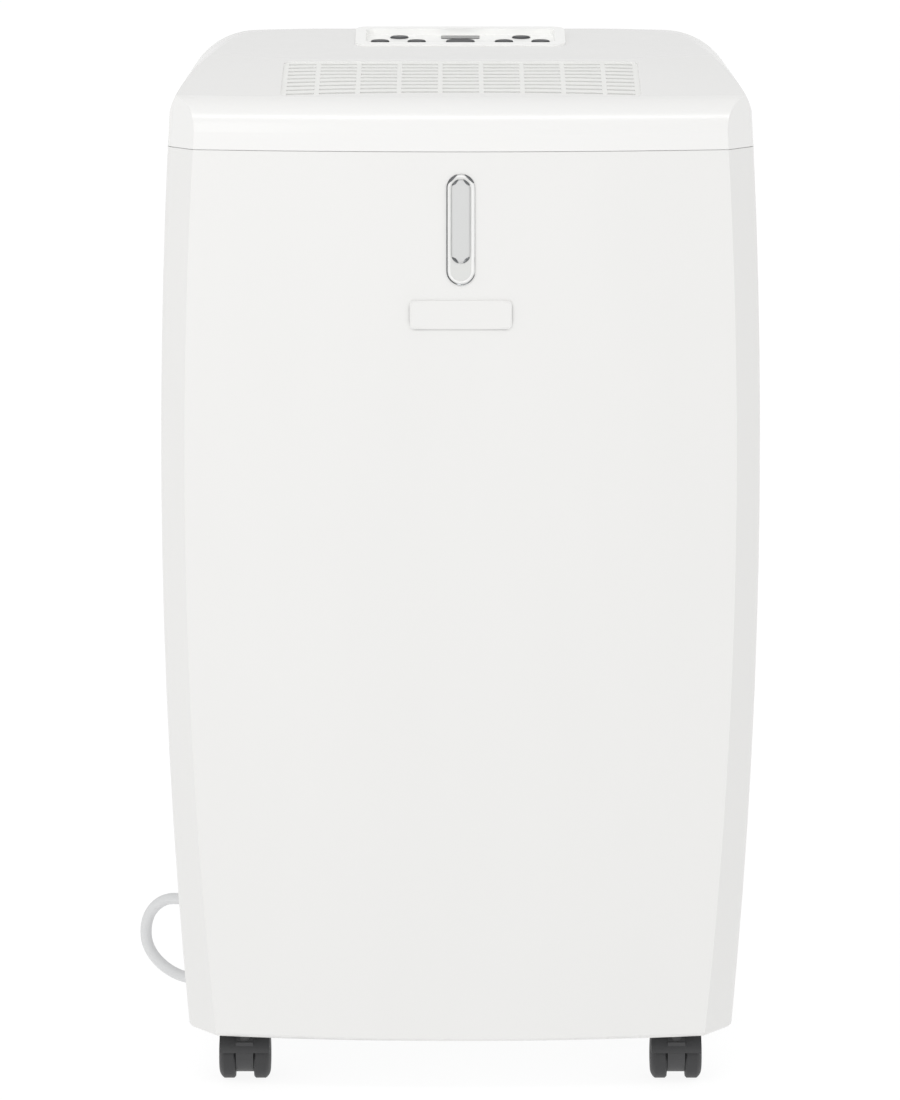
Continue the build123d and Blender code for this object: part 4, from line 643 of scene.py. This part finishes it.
white = moulded("casing_white", (0.785, 0.782, 0.770), 0.33, 1400.0, 0.00002, 0.015)
lid_white = moulded("lid_white", (0.815, 0.812, 0.802), 0.22, 1100.0, 0.00001, 0.006, 0.02)
pod_white = moulded("pod_white", (0.95, 0.95, 0.935), 0.25, 1100.0, 0.00001, 0.006, 0.02)
panel_white = moulded("panel_white", (0.84, 0.84, 0.82), 0.38, 1700.0, 0.00003, 0.02)
inner_grey = moulded("inner_grey", (0.50, 0.51, 0.51), 0.5, 1200.0, 0.00004, 0.06)
scroll_white = moulded("scroll_white", (0.84, 0.84, 0.83), 0.45, 1200.0, 0.00004, 0.05)
tank_grey = moulded("tank_grey", (0.66, 0.68, 0.69), 0.42, 900.0, 0.00002, 0.02, 0.03)
button_grey = moulded("button_grey", (0.035, 0.037, 0.04), 0.5, 2600.0, 0.00005, 0.15)
caster_dark = moulded("caster_dark", (0.055, 0.055, 0.057), 0.47, 1500.0, 0.00005, 0.25)
tread_dark = moulded("tread_dark", (0.040, 0.040, 0.042), 0.55, 1100.0, 0.00008, 0.3)
rubber_black = moulded("rubber_black", (0.02, 0.02, 0.02), 0.65, 1800.0, 0.00006, 0.3)
lead_grey = moulded("lead_grey", (0.70, 0.705, 0.71), 0.42, 2200.0, 0.00003, 0.05)
tie_white = moulded("tie_white", (0.82, 0.82, 0.80), 0.4, 2200.0, 0.00003, 0.04)
lens_grey = moulded("lens_grey", (0.62, 0.625, 0.62), 0.14, 3000.0, 0.000004, 0.03)
frame_white = moulded("frame_white", (0.86, 0.86, 0.85), 0.16, 3000.0, 0.000006, 0.02)
insert_grey = moulded("insert_grey", (0.68, 0.685, 0.67), 0.3, 3000.0, 0.00001, 0.03)
window_black = moulded("window_black", (0.012, 0.013, 0.015), 0.1, 3000.0, 0.000002, 0.2, 0.03)
float_white = moulded("float_white", (0.78, 0.79, 0.80), 0.6, 500.0, 0.0003, 0.06)


def metal(name, color, roughness, stretch=(1, 1, 40), grain=900.0, depth=0.00001, tone=0.12):
    """Metal with brushed or drawn streaks along one direction."""
    material, tree, shader = new_material(name, color, roughness, 1.0)
    streaks = noise(tree, object_coords(tree, stretch), grain / max(stretch), 4.0, 0.7)
    mottle = ramp(tree, streaks, ((0.3, shade(color, 1 - tone)), (0.7, color)))
    tree.links.new(mottle, shader.inputs["Base Color"])
    stains = noise(tree, object_coords(tree), 35.0, 5.0, 0.7)
    tree.links.new(spread(tree, stains, roughness * 0.75, roughness * 1.35), shader.inputs["Roughness"])
    bump(tree, shader, streaks, depth, 0.6)
    return material


# The dark chrome paints a dark reflection in the rims' crescents and painted shade along the outer rim's
# left side and lower end; the bright chrome is the same plating on the plain stretches.
chrome = metal("chrome_painted_reflection_and_shade", (0.17, 0.175, 0.18), 0.12, (1, 1, 1), 200.0, 0.000002, 0.06)
bright_chrome = metal("bright_chrome", (0.72, 0.72, 0.72), 0.2, (1, 1, 1), 200.0, 0.000002, 0.05)
steel = metal("pin_steel", (0.56, 0.56, 0.57), 0.3, (1, 1, 1))
screw_steel = metal("screw_steel", (0.42, 0.42, 0.43), 0.35, (1, 1, 1))
copper = metal("copper", (0.70, 0.36, 0.22), 0.3, (1, 1, 1), 300.0, 0.00002, 0.35)
motor_steel = metal("motor_steel", (0.42, 0.43, 0.44), 0.4, (1, 20, 1))
blade_steel = metal("blade_steel", (0.60, 0.60, 0.59), 0.22, (20, 1, 1))

# The fin stack's dark bands are painted shade in the gaps between the fins; the light bands are the fins'
# own metal.
fins, fin_tree, fin_shader = new_material("fin_stack", (0.62, 0.63, 0.64), 0.35, 1.0)
fin_gap_shade_bands = fin_tree.nodes.new("ShaderNodeTexWave")
fin_gap_shade_bands.bands_direction = "X"
fin_gap_shade_bands.inputs["Scale"].default_value = 170.0
fin_gap_shade_bands.inputs["Distortion"].default_value = 0.4
fin_gap_shade_bands.inputs["Detail"].default_value = 2.0
fin_tree.links.new(object_coords(fin_tree), fin_gap_shade_bands.inputs["Vector"])
fin_tree.links.new(
    ramp(fin_tree, fin_gap_shade_bands.outputs["Fac"], ((0.25, (0.10, 0.10, 0.105)), (0.75, (0.66, 0.67, 0.68)))),
    fin_shader.inputs["Base Color"],
)
bump(fin_tree, fin_shader, fin_gap_shade_bands.outputs["Fac"], 0.0008, 0.8)

enamel, enamel_tree, enamel_shader = new_material("black_enamel", (0.012, 0.012, 0.013), 0.2)
enamel_dust = noise(enamel_tree, object_coords(enamel_tree), 40.0, 6.0, 0.7)
enamel_tree.links.new(
    ramp(enamel_tree, enamel_dust, ((0.4, (0.012, 0.012, 0.013)), (0.8, (0.05, 0.05, 0.048)))),
    enamel_shader.inputs["Base Color"],
)
enamel_tree.links.new(spread(enamel_tree, enamel_dust, 0.15, 0.4), enamel_shader.inputs["Roughness"])
bump(enamel_tree, enamel_shader, noise(enamel_tree, object_coords(enamel_tree), 500.0, 2.0), 0.00005, 0.6)

board, board_tree, board_shader = new_material("circuit_board", (0.01, 0.10, 0.035), 0.35)
tracks = board_tree.nodes.new("ShaderNodeTexBrick")
tracks.inputs["Scale"].default_value = 130.0
tracks.inputs["Mortar Size"].default_value = 0.09
tracks.inputs["Color1"].default_value = (0.010, 0.095, 0.032, 1)
tracks.inputs["Color2"].default_value = (0.012, 0.075, 0.028, 1)
tracks.inputs["Mortar"].default_value = (0.035, 0.20, 0.07, 1)
board_tree.links.new(object_coords(board_tree), tracks.inputs["Vector"])
board_tree.links.new(tracks.outputs["Color"], board_shader.inputs["Base Color"])
bump(board_tree, board_shader, tracks.outputs["Fac"], 0.0001, 0.5)

# The near-black between the threads is painted shade standing in for the dark interior seen through the
# net's holes; the threads' dark grey is their own colour.
net, net_tree, net_shader = new_material("filter_net", (0.05, 0.052, 0.055), 0.6)
waves = []
for direction in ("X", "Z"):
    wave = net_tree.nodes.new("ShaderNodeTexWave")
    wave.bands_direction = direction
    wave.inputs["Scale"].default_value = 220.0
    net_tree.links.new(object_coords(net_tree), wave.inputs["Vector"])
    waves.append(wave.outputs["Fac"])
threads = net_tree.nodes.new("ShaderNodeMath")
threads.operation = "MAXIMUM"
net_tree.links.new(waves[0], threads.inputs[0])
net_tree.links.new(waves[1], threads.inputs[1])
net_tree.links.new(
    ramp(net_tree, threads.outputs["Value"], ((0.55, (0.006, 0.006, 0.007)), (0.85, (0.11, 0.115, 0.12)))),
    net_shader.inputs["Base Color"],
)
bump(net_tree, net_shader, threads.outputs["Value"], 0.0004, 0.8)


# ---------------------------------------------------------------- which piece wears what
def dress(material, *names):
    """Gives one material to CAD nodes and new pieces alike."""
    for name in names:
        piece = nodes.get(name) or bpy.data.objects[name]
        piece.data.materials.clear()
        piece.data.materials.append(material)


CORNERS = ("front_left", "front_right", "rear_left", "rear_right")
dress(white, "front_cover", "rear_cover", "handle_cup_left", "handle_cup_right", "badge_plate",
      "badge_border", "filter_frame")
dress(lid_white, "top_cover")
dress(pod_white, "control_panel")
dress(panel_white, "outlet_grille")
dress(inner_grey, "tank_bay", "drip_tray", "base_pan", "electrics_box", "tank_lid", "tank_switch",
      "fan_wheel")
dress(scroll_white, "fan_scroll")
dress(tank_grey, "tank")
dress(float_white, "tank_float")
dress(button_grey, "timer_button", "fan_speed_button", "humidity_down_button", "humidity_up_button",
      "laundry_button", "auto_button", "power_button")
dress(window_black, "display_window")
dress(lens_grey, "indicator_glass", "indicator_lens", "indicator_bezel")
dress(insert_grey, "indicator_insert")
dress(frame_white, "indicator_frame")
dress(chrome, "indicator_rim", "indicator_lens_rim")


def brighten_rim(piece, centre, half, is_dark):
    """Gives the plain stretches of a rim the brighter chrome, and leaves the rest in the dark chrome that
    paints reflection and shade.
    """
    piece.data.materials.append(bright_chrome)
    for polygon in piece.data.polygons:
        facing = facing_at(polygon.center, centre, half)
        polygon.material_index = 0 if is_dark(facing) else 1


def bezel_painted_dark(facing):
    """The crescents, the left side and the lower end of the outer rim are dark: painted dark reflection in
    the crescents, painted shade along the left side and the lower end.
    """
    return corner_swell(facing, UPPER_CORNERS) > 0.15 or facing.x < -0.3 or facing.z < -0.3


def lens_rim_painted_dark(facing):
    """Only the four crescents of the lens rim are dark, as a painted dark reflection."""
    return corner_swell(facing, ALL_CORNERS) > 0.15


# Each rim is split into painted dark reflection and shade, and the brighter plating.
brighten_rim(bezel_rim, bezel_centre, bezel_half, bezel_painted_dark)
brighten_rim(lens_rim, lens_centre, lens_half, lens_rim_painted_dark)
dress(board, "control_board", "indicator_board", "main_board", "humidity_sensor")
dress(caster_dark, "caster_sockets", *["caster_fork_" + corner for corner in CORNERS])
dress(tread_dark, *["caster_wheels_" + corner for corner in CORNERS])
dress(steel, *["caster_pin_" + corner for corner in CORNERS])
dress(blade_steel, "plug_blades")
dress(screw_steel, "casing_screws")
dress(fins, "evaporator", "condenser")
dress(copper, "refrigerant_pipes")
dress(enamel, "compressor")
dress(motor_steel, "fan_motor")
dress(rubber_black, "compressor_mounts", "drain_cap")
dress(net, "filter_mesh")
dress(lead_grey, "lead", "lead_boot", "plug_body", "mains_lead", "lead_coil", "strain_relief", "plug")
dress(tie_white, "coil_tie", "lead_tie")

# ---------------------------------------------------------------- floor and light
FLOOR_HALF = 40
floor_mesh = bmesh.new()
bmesh.ops.create_grid(floor_mesh, x_segments=1, y_segments=1, size=FLOOR_HALF)
floor_data = bpy.data.meshes.new("floor")
floor_mesh.to_mesh(floor_data)
floor_mesh.free()
floor = bpy.data.objects.new("floor", floor_data)
bpy.context.collection.objects.link(floor)
floor_material, floor_tree, floor_shader = new_material("floor_white", (0.15, 0.15, 0.15), 0.8)
floor_shader.inputs["Emission Color"].default_value = (1, 1, 1, 1)
floor_shader.inputs["Emission Strength"].default_value = 0.885
floor_shader.inputs["Specular IOR Level"].default_value = 0.1
floor_cloud = noise(floor_tree, object_coords(floor_tree), 3.0)
floor_mottle = ramp(floor_tree, floor_cloud, ((0.3, (0.145, 0.145, 0.145)), (0.7, (0.155, 0.155, 0.155))))
floor_tree.links.new(floor_mottle, floor_shader.inputs["Base Color"])
floor_data.materials.append(floor_material)

world = bpy.data.worlds.new("studio")
world.use_nodes = True
bpy.context.scene.world = world
world_tree = world.node_tree
background = world_tree.nodes["Background"]
background.inputs["Strength"].default_value = 1.0
sky = world_tree.nodes.new("ShaderNodeTexCoord")
sky_axes = world_tree.nodes.new("ShaderNodeSeparateXYZ")
world_tree.links.new(sky.outputs["Generated"], sky_axes.inputs["Vector"])
sky_ramp = ramp(world_tree, sky_axes.outputs["Z"], (
    (0.0, (1.0, 1.0, 1.0)),
    (0.05, (0.82, 0.82, 0.82)),
    (0.5, (0.78, 0.78, 0.78)),
    (1.0, (0.76, 0.76, 0.76)),
))
world_tree.links.new(sky_ramp, background.inputs["Color"])


def soft_light(name, place, target, size, power):
    """A large square area light aimed at a point."""
    data = bpy.data.lights.new(name, "AREA")
    data.shape = "RECTANGLE"
    data.size, data.size_y = size
    data.energy = power
    light = bpy.data.objects.new(name, data)
    light.location = place
    light.rotation_euler = (Vector(target) - Vector(place)).to_track_quat("-Z", "Y").to_euler()
    bpy.context.collection.objects.link(light)


soft_light("key", (-1.6, -2.6, 1.2), (0, 0, 0.3), (1.6, 1.6), 10)
soft_light("strip", (0.0, -1.5, 2.2), (0, 0, 0.5), (2.4, 0.25), 12)

bpy.context.view_layer.update()
